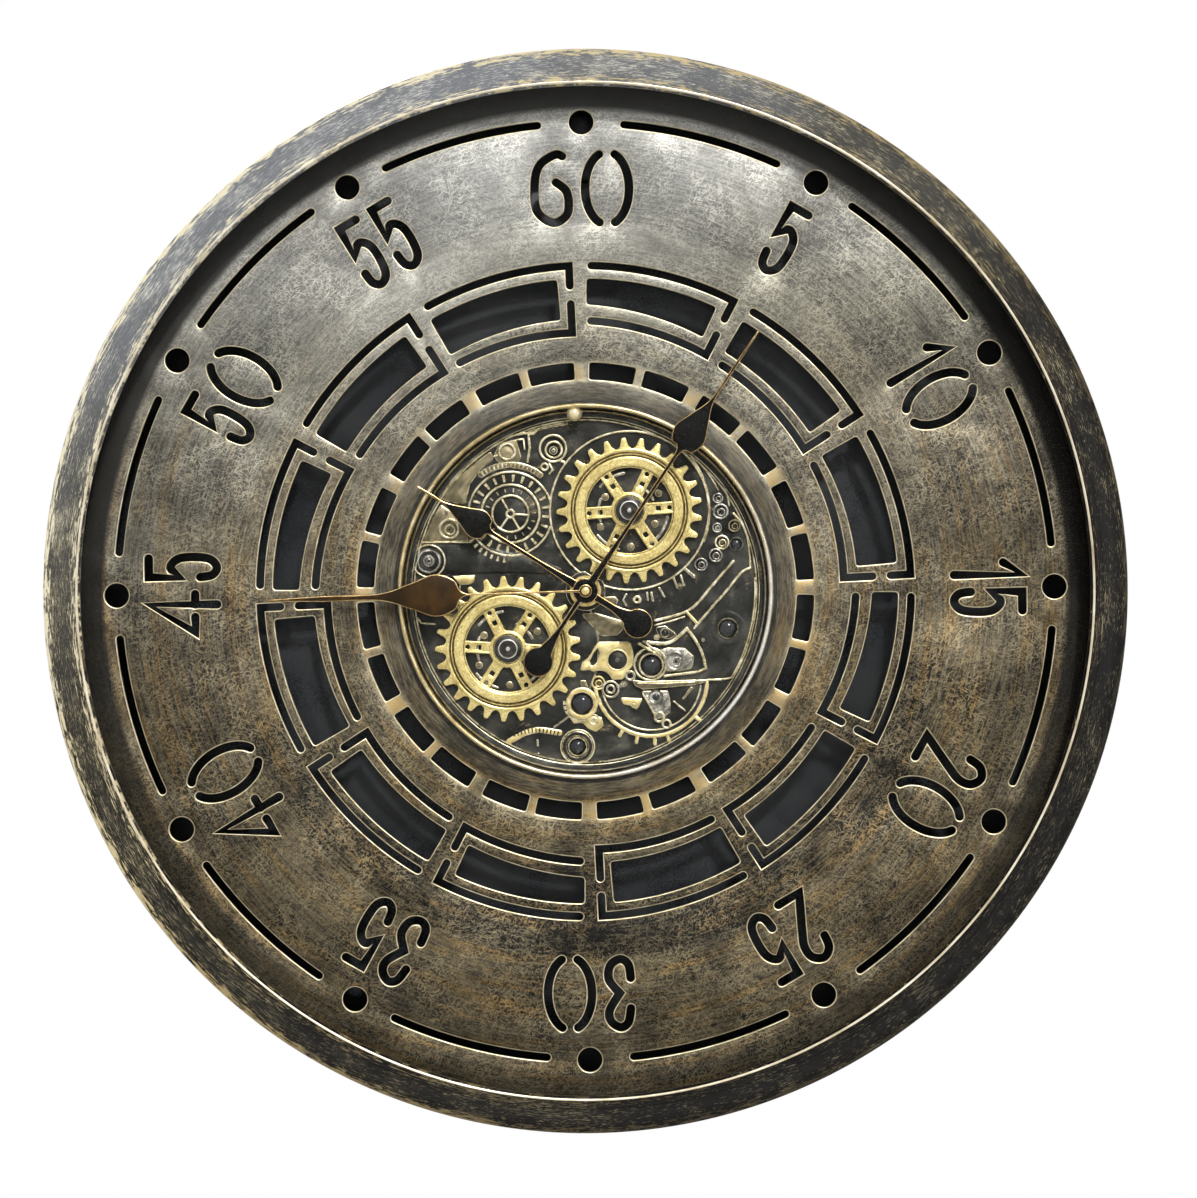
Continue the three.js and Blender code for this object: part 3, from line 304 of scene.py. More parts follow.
def filled(loops):
    # Triangles between loops: material loops run anticlockwise, holes clockwise
    flat = [p for loop in loops for p in loop]
    spans, start = [], 0
    solid = [signedArea(loop) > 0 for loop in loops]
    for loop, isSolid in zip(loops, solid):
        span = list(range(start, start + len(loop)))
        spans.append(span if isSolid else span[::-1])
        start += len(loop)
    spots, _, faces, origin, _, owners = delaunay_2d_cdt(flat, [], spans, 1, 1e-7)
    # Where loops cross there are new points, which count on after the given ones
    source, crossings = [], []
    for spot, given in zip(spots, origin):
        source.append(given[0] if given else len(flat) + len(crossings))
        if not given:
            crossings.append(spot)
    triangles = [[source[i] for i in face] for face, owner in zip(faces, owners)
                 if sum(1 if solid[i] else -1 for i in owner) > 0]
    return triangles, crossings


def region(kept, cut=()):
    # Loops round everything inside the kept outlines and outside the cut ones
    outlines = [[Vector(p) for p in o] for o in (*kept, *cut)]
    flat, spans = [], []
    for outline in outlines:
        if signedArea(outline) < 0:
            outline.reverse()
        spans.append(list(range(len(flat), len(flat) + len(outline))))
        flat += outline
    points, _, faces, _, _, owners = delaunay_2d_cdt(flat, [], spans, 1, 1e-6)
    edges = {}
    for face, owner in zip(faces, owners):
        if any(i < len(kept) for i in owner) and not any(i >= len(kept) for i in owner):
            for a, b in zip(face, [*face[1:], face[0]]):
                if (b, a) in edges:
                    del edges[(b, a)]
                else:
                    edges[(a, b)] = True
    following = {}
    for a, b in edges:
        following.setdefault(a, []).append(b)
    loops = []
    while following:
        first = next(iter(following))
        loop, at = [], first
        while True:
            loop.append(Vector(points[at]))
            after = following[at].pop()
            if not following[at]:
                del following[at]
            at = after
            if at == first or at not in following:
                break
        loop = [p for i, p in enumerate(loop) if (p - loop[i - 1]).length > 0.02]
        if len(loop) > 2 and abs(signedArea(loop)) > 0.05:
            loops.append(loop)
    return loops


def plate(loops, rear, front, edge=0.0, rearEdge=0.0, slots=(0, 1), edgeSteps=2):
    # A flat piece with rounded rims; slots are those of the faces and of the rims
    levels = [(rear, rearEdge)]
    if rearEdge:
        levels.append((rear + rearEdge, 0.0))
    if edge:
        for k in range(edgeSteps + 1):
            turn = math.pi / 2 * k / edgeSteps
            levels.append((front - edge * (1 - math.sin(turn)), edge * (1 - math.cos(turn))))
    else:
        levels.append((front, 0.0))
    points, faces, kinds, starts = [], [], [], []
    for level, reach in levels:
        starts.append(len(points))
        for loop in loops:
            points += [(p.x, p.y, level) for p in (inset(loop, reach) if reach else loop)]
    for k in range(len(levels) - 1):
        onRim = k and levels[k][1] != levels[k + 1][1]
        low, high = starts[k], starts[k + 1]
        for loop in loops:
            n = len(loop)
            for i in range(n):
                j = (i + 1) % n
                faces.append((low + i, low + j, high + j, high + i))
                kinds.append(slots[1] if onRim else slots[0])
            low, high = low + n, high + n
    given = sum(len(loop) for loop in loops)
    for base, (level, reach), isTop in ((starts[0], levels[0], False), (starts[-1], levels[-1], True)):
        triangles, crossings = filled([inset(loop, reach) if reach else loop for loop in loops])
        added = len(points) - given
        points += [(p.x, p.y, level) for p in crossings]
        for triangle in triangles:
            face = [i + (base if i < given else added) for i in triangle]
            faces.append(face if isTop else face[::-1])
            kinds.append(slots[0])
    return points, faces, kinds


def prism(outer, holes, rear, front, edge=0.0, **options):
    loops = [[Vector(p) for p in loop] for loop in (outer, *holes)]
    for i, loop in enumerate(loops):
        if (signedArea(loop) > 0) != (i == 0):
            loop.reverse()
    return plate(loops, rear, front, edge, **options)


def lathe(profile, steps, x=0.0, y=0.0, slot=0, bands=None):
    # Turns (radius, level) pairs, from axis to axis or closed; bands gives other slots to some segments
    closed = profile[0][0] > 1e-6
    points, rings = [], []
    for radius, level in profile:
        if radius < 1e-6:
            rings.append([len(points)] * steps)
            points.append((x, y, level))
        else:
            rings.append(list(range(len(points), len(points) + steps)))
            points += [(p.x, p.y, level) for p in circle(radius, steps, x, y)]
    faces, kinds = [], []
    for k in range(len(profile) if closed else len(profile) - 1):
        low, high = rings[k], rings[(k + 1) % len(profile)]
        for i in range(steps):
            j = (i + 1) % steps
            corners = []
            for corner in (low[i], low[j], high[j], high[i]):
                if corner not in corners:
                    corners.append(corner)
            if len(corners) > 2:
                faces.append(corners)
                kinds.append((bands or {}).get(k, slot))
    return points, faces, kinds


def arcProfile(radius, level, reach, fromAngle, toAngle, steps):
    # Part of a circle in the plane of a turned profile
    turns = [math.radians(mixed(fromAngle, toAngle, i / steps)) for i in range(steps + 1)]
    return [(radius + reach * math.cos(t), level + reach * math.sin(t)) for t in turns]


# Finishes

def brushedField(tree, centre, streak, line):
    # Coordinates that run round a centre: long along the turn, fine across it
    at = add(tree, "ShaderNodeTexCoord").outputs["Object"]
    centred = add(tree, "ShaderNodeMapping", {"Vector": at, "Location": -place(centre[0], centre[1], 0)})
    flat = add(tree, "ShaderNodeVectorMath", {0: centred, 1: (1, 0, 1)}, operation="MULTIPLY")
    radius = add(tree, "ShaderNodeVectorMath", {0: flat}, operation="LENGTH")
    facing = add(tree, "ShaderNodeVectorMath", {0: flat}, operation="NORMALIZE")
    along = add(tree, "ShaderNodeVectorMath", {0: facing, "Scale": streak}, operation="SCALE")
    # Across the turn it counts both radius and depth, so walls are brushed as faces are
    depth = add(tree, "ShaderNodeSeparateXYZ", {"Vector": at})
    across = add(tree, "ShaderNodeMath", {0: radius.outputs["Value"], 1: depth.outputs["Y"]}, operation="ADD")
    across = add(tree, "ShaderNodeMath", {0: across, 1: 1000 / line}, operation="MULTIPLY")
    shift = add(tree, "ShaderNodeCombineXYZ", {"Y": across})
    field = add(tree, "ShaderNodeVectorMath", {0: along, 1: shift}, operation="ADD")
    return at, radius.outputs["Value"], field


def agedMetal(name, looks):
    # Cast or spun metal under a patina: clouds, turning marks and worn flecks
    material, tree, shader = newMaterial(name, {"Metallic": looks["metallic"],
                                                "Specular IOR Level": looks.get("sheen", 0.15)})
    at, _, field = brushedField(tree, looks.get("centre", (0, 0)), looks["streak"], looks["line"])
    clouds = add(tree, "ShaderNodeTexNoise", {"Vector": at, "Scale": 1000 / looks["cloud"], "Detail": 5.0,
                                              "Roughness": 0.62})
    marks = add(tree, "ShaderNodeTexNoise", {"Vector": field, "Scale": 1.0, "Detail": 3.0})
    body = add(tree, "ShaderNodeMix", {0: looks.get("markShare", 0.45), 2: clouds, 3: marks}, data_type="FLOAT")
    colour = add(tree, "ShaderNodeValToRGB", {"Fac": body}, stops=list(zip((0.3, 0.5, 0.7), looks["tones"])))
    for wash, code, low, high in looks.get("washes", ()):
        # A painted sheen: another tone that grows along a direction, standing in for a highlight
        along = add(tree, "ShaderNodeVectorMath", {0: at, 1: wash}, operation="DOT_PRODUCT")
        ranged = add(tree, "ShaderNodeMapRange", {"Value": along.outputs["Value"], "From Min": low * 0.001,
                                                  "From Max": high * 0.001})
        broken = add(tree, "ShaderNodeMath", {0: ranged, 1: clouds}, operation="MULTIPLY")
        strong = add(tree, "ShaderNodeMath", {0: broken, 1: 1.7}, operation="MULTIPLY", use_clamp=True)
        colour = add(tree, "ShaderNodeMix", {0: strong, 6: colour, 7: code}, data_type="RGBA").outputs[2]
    fine = add(tree, "ShaderNodeTexNoise", {"Vector": at, "Scale": 1000 / looks["fleck"], "Detail": 2.0})
    spots = add(tree, "ShaderNodeMix", {0: 0.5, 2: fine, 3: marks}, data_type="FLOAT")
    worn = add(tree, "ShaderNodeValToRGB", {"Fac": spots}, stops=[(looks["wear"], 0.0), (looks["wear"] + 0.07, 1.0)])
    colour = add(tree, "ShaderNodeMix", {0: worn, 6: colour, 7: looks["wornTone"]}, data_type="RGBA").outputs[2]
    tree.links.new(colour, shader.inputs["Base Color"])
    low, high = looks["roughness"]
    gloss = add(tree, "ShaderNodeMapRange", {"Value": body, "From Min": 0.25, "From Max": 0.75,
                                             "To Min": low, "To Max": high})
    tree.links.new(gloss.outputs[0], shader.inputs["Roughness"])
    bump = add(tree, "ShaderNodeBump", {"Height": spots, "Strength": looks.get("relief", 0.35), "Distance": 0.0004})
    tree.links.new(bump.outputs[0], shader.inputs["Normal"])
    return material


def dashes(tree, at, angles, wide, long, threshold, seed=0.0):
    # Short worn strokes in several directions, as a scouring pad leaves them
    for i, angle in enumerate(angles):
        laid = add(tree, "ShaderNodeMapping", {"Vector": at, "Rotation": (0, math.radians(angle), 0),
                                               "Location": (0.013 * (seed + i), 0, 0.017 * i),
                                               "Scale": (0.001 * wide, 0.001 * long, 0.001 * long)},
                   vector_type="TEXTURE")
        noise = add(tree, "ShaderNodeTexNoise", {"Vector": laid, "Scale": 1.0, "Detail": 1.0})
        cut = add(tree, "ShaderNodeMapRange", {"Value": noise, "From Min": threshold, "From Max": threshold + 0.1})
        strongest = add(tree, "ShaderNodeMath", {0: strongest, 1: cut}, operation="MAXIMUM") if i else cut
    return strongest


def wearAlong(tree, at, direction, low, high, *ramps):
    # Tones that change along a direction, painting light on one side and shade on the other: the patina, the metal
    # where it is rubbed, its worn edges
    along = add(tree, "ShaderNodeVectorMath", {0: at, 1: direction}, operation="DOT_PRODUCT")
    slow = add(tree, "ShaderNodeTexNoise", {"Vector": at, "Scale": 1000 / 110.0, "Detail": 2.0})
    swayed = add(tree, "ShaderNodeMath", {0: slow, 1: 0.16, 2: along.outputs["Value"]}, operation="MULTIPLY_ADD")
    share = add(tree, "ShaderNodeMapRange", {"Value": swayed, "From Min": low * 0.001 + 0.08,
                                             "From Max": high * 0.001 + 0.08})
    return [add(tree, "ShaderNodeValToRGB", {"Fac": share}, stops=stops) for stops in ramps]


# Ramps run from the lower right of the clock to its upper left: lighter and greyer towards the upper left as painted
# light, darker at the lower right as painted shade; widths and lengths are millimetres
bronzeLooks = {
    "metallic": 0.4, "streak": 30.0, "line": 0.7, "cloud": 26.0,
    "patinaAlong": ((-0.45, 0, 0.89), -260, 275),
    # Patina and scratch tones are painted light: near black at the lower right, grey and pale at the upper left
    "patina": [(0.0, "#0d0c0b"), (0.4, "#0f0e0d"), (0.6, "#24221f"), (0.8, "#484743"), (1.0, "#777a7f")],
    "scratched": [(0.0, "#8f846a"), (0.4, "#a69a7a"), (0.6, "#c0b28c"), (0.8, "#ccc2a4"), (1.0, "#e2e0d8")],
    "wearAlong": ((-0.85, 0, 0.53), -300, 300),
    # Flaked edges are real wear, but their tone is painted light: dark brown at the lower right, cream at the upper
    # left
    "flaked": [(0.0, "#2e2a22"), (0.25, "#5a4f38"), (0.4, "#8a7a58"), (0.6, "#b8a477"), (0.75, "#dccb9e"),
               (0.92, "#f2e8c9")],
    # Wear grows towards the upper left: real wear with painted shade at the lower right
    "wear": [(0.1, 0.0), (0.7, 1.0)],
    "fineScratch": (70.0, 0.6, 2.0, 0.62), "longScratch": (20.0, 0.95, 3.0, 0.645), "flake": (32.0, 2.0, 5.0),
    "outerEdge": (0.2925, 0.2992), "lipEdge": (0.2862, 0.2815), "faceFrom": (-0.0440, -0.0475),
}


def spunBronze(looks):
    # Spun bronze under black patina, greyed and scratched towards the top as painted light, darker at the lower right
    # as painted shade, flaked to tan along both corners
    material, tree, shader = newMaterial("spun bronze with black patina", {"Metallic": looks["metallic"],
                                                                           "Specular IOR Level": 0.15})
    at, radius, field = brushedField(tree, (0, 0), looks["streak"], looks["line"])
    dark, light = wearAlong(tree, at, *looks["patinaAlong"], looks["patina"], looks["scratched"])
    bare, cover = wearAlong(tree, at, *looks["wearAlong"], looks["flaked"], looks["wear"])
    clouds = add(tree, "ShaderNodeTexNoise", {"Vector": at, "Scale": 1000 / looks["cloud"], "Detail": 6.0,
                                              "Roughness": 0.68})
    marks = add(tree, "ShaderNodeTexNoise", {"Vector": field, "Scale": 1.0, "Detail": 3.0, "Roughness": 0.6})
    body = add(tree, "ShaderNodeMix", {0: 0.68, 2: clouds, 3: marks}, data_type="FLOAT")
    # Fine scratches, long scratches and flakes, all along the turn
    fine, long, flake = (
        add(tree, "ShaderNodeTexNoise", {"Vector": brushedField(tree, (0, 0), streak, line)[2], "Scale": 1.0,
                                         "Detail": detail, "Roughness": 0.66})
        for streak, line, detail in (looks["fineScratch"][:3], looks["longScratch"][:3], looks["flake"]))
    # Less haze towards the lower right: painted shade there
    haze = add(tree, "ShaderNodeMapRange", {"Value": body, "From Min": 0.47, "From Max": 0.72, "To Max": 0.32})
    hazeShare = add(tree, "ShaderNodeMapRange", {"Value": cover, "To Min": 0.1})
    haze = add(tree, "ShaderNodeMath", {0: haze, 1: hazeShare}, operation="MULTIPLY")
    patchy = add(tree, "ShaderNodeMapRange", {"Value": clouds, "From Min": 0.4, "From Max": 0.66, "To Min": -0.055,
                                              "To Max": 0.055})
    patchy = add(tree, "ShaderNodeMath", {0: cover, 1: 0.045, 2: patchy}, operation="MULTIPLY_ADD")
    worn = haze
    for scratch, threshold in ((fine, looks["fineScratch"][3]), (long, looks["longScratch"][3])):
        lifted = add(tree, "ShaderNodeMath", {0: scratch, 1: patchy}, operation="ADD")
        cut = add(tree, "ShaderNodeMapRange", {"Value": lifted, "From Min": threshold, "From Max": threshold + 0.06})
        worn = add(tree, "ShaderNodeMath", {0: worn, 1: cut}, operation="MAXIMUM")
    # Both corners of the bevel are flaked bare in ragged patches, only on its face
    (outerLow, outerHigh), (lipHigh, lipLow), (behind, ahead) = (looks[k] for k in ("outerEdge", "lipEdge", "faceFrom"))
    outside = add(tree, "ShaderNodeMapRange", {"Value": radius, "From Min": outerLow, "From Max": outerHigh})
    inside = add(tree, "ShaderNodeMapRange", {"Value": radius, "From Min": lipHigh, "From Max": lipLow, "To Max": 0.6})
    edge = add(tree, "ShaderNodeMath", {0: outside, 1: inside}, operation="MAXIMUM")
    depth = add(tree, "ShaderNodeSeparateXYZ", {"Vector": at})
    front = add(tree, "ShaderNodeMapRange", {"Value": depth.outputs["Y"], "From Min": behind, "From Max": ahead})
    flaked = add(tree, "ShaderNodeMath", {0: patchy, 1: 0.6, 2: flake}, operation="MULTIPLY_ADD")
    flaked = add(tree, "ShaderNodeMath", {0: edge, 1: 0.235, 2: flaked}, operation="MULTIPLY_ADD")
    rubbed = add(tree, "ShaderNodeMapRange", {"Value": flaked, "From Min": 0.67, "From Max": 0.73})
    rubbed = add(tree, "ShaderNodeMath", {0: rubbed, 1: front}, operation="MULTIPLY")
    colour = add(tree, "ShaderNodeMix", {0: worn, 6: dark, 7: light}, data_type="RGBA")
    # The bare tone of the flakes is painted light: pale at the upper left, dark at the lower right
    colour = add(tree, "ShaderNodeMix", {0: rubbed, 6: colour.outputs[2], 7: bare}, data_type="RGBA")
    tree.links.new(colour.outputs[2], shader.inputs["Base Color"])
    gloss = add(tree, "ShaderNodeMapRange", {"Value": body, "From Min": 0.3, "From Max": 0.7, "To Min": 0.28,
                                             "To Max": 0.46})
    tree.links.new(gloss.outputs[0], shader.inputs["Roughness"])
    scratched = add(tree, "ShaderNodeMath", {0: fine, 1: long}, operation="ADD")
    bump = add(tree, "ShaderNodeBump", {"Height": scratched, "Strength": 0.15, "Distance": 0.0003})
    tree.links.new(bump.outputs[0], shader.inputs["Normal"])
    return material


frameFinish = spunBronze(bronzeLooks)
# The same bronze rubbed bare along rims and lips
wornRim = agedMetal("bronze rubbed bare", {
    "metallic": 0.7, "tones": ("#a1926d", "#d6cab0", "#f4eedc"), "cloud": 14.0, "streak": 14.0, "line": 2.0,
    "fleck": 1.2, "wear": 0.62, "wornTone": "#fffaf0", "roughness": (0.24, 0.38),
})
# Cut edges of the pierced plate, bright where the tool passed
cutEdge = agedMetal("cut bronze edge", {
    "metallic": 0.6, "tones": ("#85795a", "#c8bb97", "#ede4cb"), "cloud": 9.0, "streak": 30.0, "line": 3.0,
    "fleck": 1.0, "wear": 0.66, "wornTone": "#fbf5e4", "roughness": (0.3, 0.45),
})


def clearGlass():
    # Float glass with an anti-glare coat: weak reflection, and shadows pass straight through
    material, tree, shader = newMaterial("coated float glass", {
        "Base Color": "#ffffff", "Roughness": 0.0, "IOR": 1.5, "Transmission Weight": 1.0,
        "Specular Tint": "#1c1c1c"})
    path = add(tree, "ShaderNodeLightPath")
    through = add(tree, "ShaderNodeBsdfTransparent", {"Color": "#ffffff"})
    at = add(tree, "ShaderNodeTexCoord").outputs["Object"]
    haze = add(tree, "ShaderNodeTexNoise", {"Vector": at, "Scale": 1000 / 60.0, "Detail": 2.0})
    film = add(tree, "ShaderNodeMapRange", {"Value": haze, "To Max": 0.03})
    tree.links.new(film.outputs[0], shader.inputs["Roughness"])
    both = add(tree, "ShaderNodeMath", {0: path.outputs["Is Shadow Ray"], 1: path.outputs["Is Diffuse Ray"]},
               operation="MAXIMUM")
    surface = add(tree, "ShaderNodeMixShader", {0: both, 1: shader, 2: through})
    tree.links.new(surface.outputs[0], tree.nodes["Material Output"].inputs["Surface"])
    return material


buildStage(studio)
print("stage is set")

# Frame ring: spun, with a rolled outer corner, a long bevel and a fine lip

frameSizes = {
    "radius": 300.0, "skin": 3.5, "rearEdge": 0.6, "wallFront": 46.4, "corner": (2.6, 46.6),
    "bevel": ((296.4, 50.3), (291.0, 55.6), (282.3, 65.4), (281.3, 66.2)), "lipBead": (278.9, 66.6, 1.4),
    "lip": 277.0, "lipFront": 66.3, "lipRear": 63.3, "bore": 284.5, "boreRear": 34.0, "boreWall": 3.0,
    "inside": ((287.5, 57.0), (296.5, 46.6)), "steps": 288,
    "bosses": (4, 292.0, 45.0), "bossRadius": 4.8, "bossHole": 1.7, "bossRear": 11.3, "bossFront": 50.0,
}


def buildFrame(s):
    outer, rearEdge = s["radius"], s["rearEdge"]
    reach, level = s["corner"]
    profile = [(outer - s["skin"], 0.0), (outer - rearEdge, 0.0), (outer, rearEdge), (outer, s["wallFront"])]
    profile += arcProfile(outer - reach, level, reach, 8, 48, 5)
    profile += s["bevel"]
    radius, level, reach = s["lipBead"]
    lipStart = len(profile) + 1
    profile += arcProfile(radius, level, reach, 60, 165, 6)
    profile += [(s["lip"], s["lipFront"]), (s["lip"], s["lipRear"]), (s["bore"], s["lipRear"]),
                (s["bore"], s["boreRear"]), (s["bore"] + s["boreWall"], s["boreRear"]), *s["inside"]]
    # Only the crest of the lip is rubbed bare
    shells = [lathe(profile, s["steps"], bands={k: 1 for k in range(lipStart, lipStart + 3)})]
    count, bossCircle, firstAngle = s["bosses"]
    hole, radius, rear, front = s["bossHole"], s["bossRadius"], s["bossRear"], s["bossFront"]
    for i in range(count):
        at = polar(bossCircle, firstAngle + 360 / count * i)
        shells.append(lathe([(hole, rear), (radius, rear), (radius, front), (hole, front)], 24, at.x, at.y))
    fit(makePiece("spun_frame_ring", shells, [frameFinish, wornRim]), "case", "frame_bronze", "frame_ring")


buildFrame(frameSizes)

# Lens and its spacer

lensSizes = {"radius": 284.0, "rear": 60.0, "front": 63.0, "edge": 0.3, "steps": 192,
             "spacerWall": 3.2, "spacerRear": 41.3, "spacerFront": 59.7}


def buildLens(s):
    soft = s["edge"]
    lens = lathe([(0, s["rear"]), (s["radius"] - soft, s["rear"]), (s["radius"], s["rear"] + soft),
                  (s["radius"], s["front"] - soft), (s["radius"] - soft, s["front"]), (0, s["front"])], s["steps"])
    fit(makePiece("flat_lens", [lens], [clearGlass()]), "case", "clear_glass", "glass_lens")
    inner = s["radius"] - s["spacerWall"]
    top = s["spacerFront"]
    spacer = lathe([(inner, s["spacerRear"]), (s["radius"], s["spacerRear"]), (s["radius"], top), (inner, top)],
                   s["steps"])
    fit(makePiece("lens_spacer_ring", [spacer], [frameFinish]), "case", "black_plastic", "lens_spacer")


buildLens(lensSizes)
print("frame and lens are made")

# Pierced dial: one sector follows a rule, the numbers are grooves along strokes

dialSizes = {
    "radius": 284.0, "rear": 38.5, "front": 41.0, "opening": 104.0, "edge": 0.55, "slot": 4.2,
    "hourHole": (6.8, 260.0), "arc": (259.5, 4.8, 25.1), "key": (180.5, 0.9, 27.6, 167.3),
    "windows": ((158.9, 155.0), (153.3, 152.2), (150.8, 150.8)), "windowSpan": (173.3, 0.75, 25.3),
    "innerSlots": ((149.8, 147.0), (146.3, 144.5), (144.5, 143.3)), "innerLeg": 161.5,
    "bars": (117.2, 126.8, ((1.5, 13.4), (15.7, 27.6))),
    "numeral": {"foot": 202.0, "height": 42.5, "stroke": 4.7, "gap": 4.4},
    "numerals": ("60", "5", "10", "15", "20", "25", "30", "35", "40", "45", "50", "55"),
}


def digitStrokes(digit, s):
    high = s["height"] - s["stroke"]
    middle = high / 2

    def bow(fromAngle, toAngle):
        turns = [math.radians(mixed(fromAngle, toAngle, i / 22)) for i in range(23)]
        return [Vector((12.2 * math.cos(t), middle + middle * 1.07 * math.sin(t))) for t in turns]

    if digit == "0":
        return [bow(111, 249), bow(-69, 69)]
    if digit == "1":
        return [[(-3.4, high - 10.5), (3.4, high), (3.4, 0)]]
    if digit == "2":
        head = spline([(-6.8, high - 10.4), (-5.6, high - 3.4), (-0.4, high), (5.2, high - 3.6),
                       (6, high - 10.6), (2.6, high * 0.5), (-6.6, 0)], 40)
        return [joined(head, [(-6.6, 0), (6.8, 0)])]
    if digit == "3":
        upper = spline([(-6, high - 10.5), (-4.6, high - 2.8), (-0.3, high), (4.8, high - 3.2),
                        (5.8, high - 9.4), (0.1, middle)], 30)
        lower = spline([(0.1, middle), (6, 11.4), (5.2, 3.4), (-0.3, 0), (-4.8, 3), (-6, 10.5)], 30)
        return [joined(upper, lower, clear=3.4)]
    if digit == "4":
        return [[(-1.7, 12.2), (-10.3, 12.2), (5.2, high), (5.2, 0)], [(5.2, 12.2), (11, 12.2)]]
    if digit == "5":
        bowl = spline([(-5.7, high * 0.54), (-0.2, high * 0.68), (4.6, high * 0.58), (5.8, high * 0.37),
                       (4.6, 4), (0, 0), (-4.2, 2.6), (-5.4, 9.3)], 44)
        return [joined([(5.2, high), (-5.3, high), (-5.7, high * 0.54)], bowl, clear=5.5)]
    return [spline([(6, high - 0.9), (2, high), (-6.5, high - 5.7), (-9.3, high - 16), (-8.2, 6.8),
                    (0.5, 0), (8, 3.8), (9.5, 10.8), (8, 17.8), (2.5, 22.4)], 48)]


def numeralOutlines(text, clockAngle, s):
    drawn = [digitStrokes(digit, s) for digit in text]
    reaches = []
    for strokes in drawn:
        across = [p[0] for line in strokes for p in line]
        reaches.append((min(across) - s["stroke"] / 2, max(across) + s["stroke"] / 2))
    total = sum(high - low for low, high in reaches) + s["gap"] * (len(text) - 1)
    start = -total / 2
    outlines = []
    for digit, strokes, (low, high) in zip(text, drawn, reaches):
        grooves = []
        for line in strokes:
            shifted = [Vector((p[0] + start - low, p[1] + s["foot"] + s["stroke"] / 2)) for p in line]
            grooves.append(turned(stroke(shifted, s["stroke"]), clockAngle))
        # Where a line bends sharply its inner side crosses itself; only the outer loops are cut
        outlines += [loop for loop in region(grooves) if signedArea(loop) > 1]
        start += high - low + s["gap"]
    return outlines


def opening(innerFrom, innerTo, outer, fromAngle, toAngle, steps):
    return sweep(outer, outer, fromAngle, toAngle, steps) + sweep(innerTo, innerFrom, toAngle, fromAngle, steps)


def slotInset(width, radius):
    return math.degrees(width / 2 / radius)


def keySlot(fromRadius, toRadius, start, s, legEnd):
    lead = slotInset(s["slot"], fromRadius)
    leg = start + s["key"][2]
    inward = math.copysign(1, legEnd - toRadius)
    line = sweep(fromRadius, toRadius, start + s["key"][1] + lead, leg, 18)
    line.append(polar(legEnd - inward * s["slot"] / 2, leg))
    return stroke(line, s["slot"])


def sectorOutlines(index, s):
    start = index * 30
    step = index % len(s["windows"])  # the windows widen in threes
    hole = polar(s["hourHole"][1], start)
    arcRadius, arcFrom, arcTo = s["arc"]
    lead = slotInset(s["slot"], arcRadius)
    outlines = [
        circle(s["hourHole"][0], 40, hole.x, hole.y),
        stroke(sweep(arcRadius, arcRadius, start + arcFrom + lead, start + arcTo - lead, 24), s["slot"]),
        keySlot(s["key"][0], s["key"][0], start, s, s["key"][3]),
        rounded(opening(*s["windows"][step], s["windowSpan"][0], start + s["windowSpan"][1],
                        start + s["windowSpan"][2], 18), 2.0),
        keySlot(*s["innerSlots"][step], start, s, s["innerLeg"]),
    ]
    inner, outer, spans = s["bars"]
    for low, high in spans:
        outlines.append(rounded(opening(inner, inner, outer, start + low, start + high, 8), 1.6))
    return outlines


# Ramps run from the foot of the dial to its top and paint the lamps' reflection, greyer and lighter towards the top;
# rings are (inner, outer, amount) in metres
dialLooks = {
    "metallic": 0.3, "streak": 16.0, "line": 1.0, "cloud": 48.0, "patch": 20.0,
    "patinaAlong": ((-0.14, 0, 1), -250, 265),
    # Patina and scoured tones grow greyer and lighter towards the top: a painted reflection of the lamps
    "patina": [(0.0, "#151412"), (0.35, "#171614"), (0.55, "#201f1d"), (0.75, "#403f3c"), (1.0, "#777774")],
    "scoured": [(0.0, "#8b7f63"), (0.3, "#918569"), (0.55, "#9a9078"), (0.75, "#a5a190"), (1.0, "#c2c0b8")],
    "rubbedRings": ((0.1, 0.1165, 0.1), (0.117, 0.127, 1.0), (0.127, 0.147, 0.06), (0.2535, 0.2655, 0.08)),
    "windowRing": (0.152, 0.203, 0.2), "warmTone": "#a08046", "goldTone": "#b2965f", "blackTone": "#12110f",
    "fineStrokes": ((12, 57, 98, 143), 0.7, 2.8, 0.585), "longStrokes": ((31, 118, 76), 1.0, 6.0, 0.62, 7.7),
}


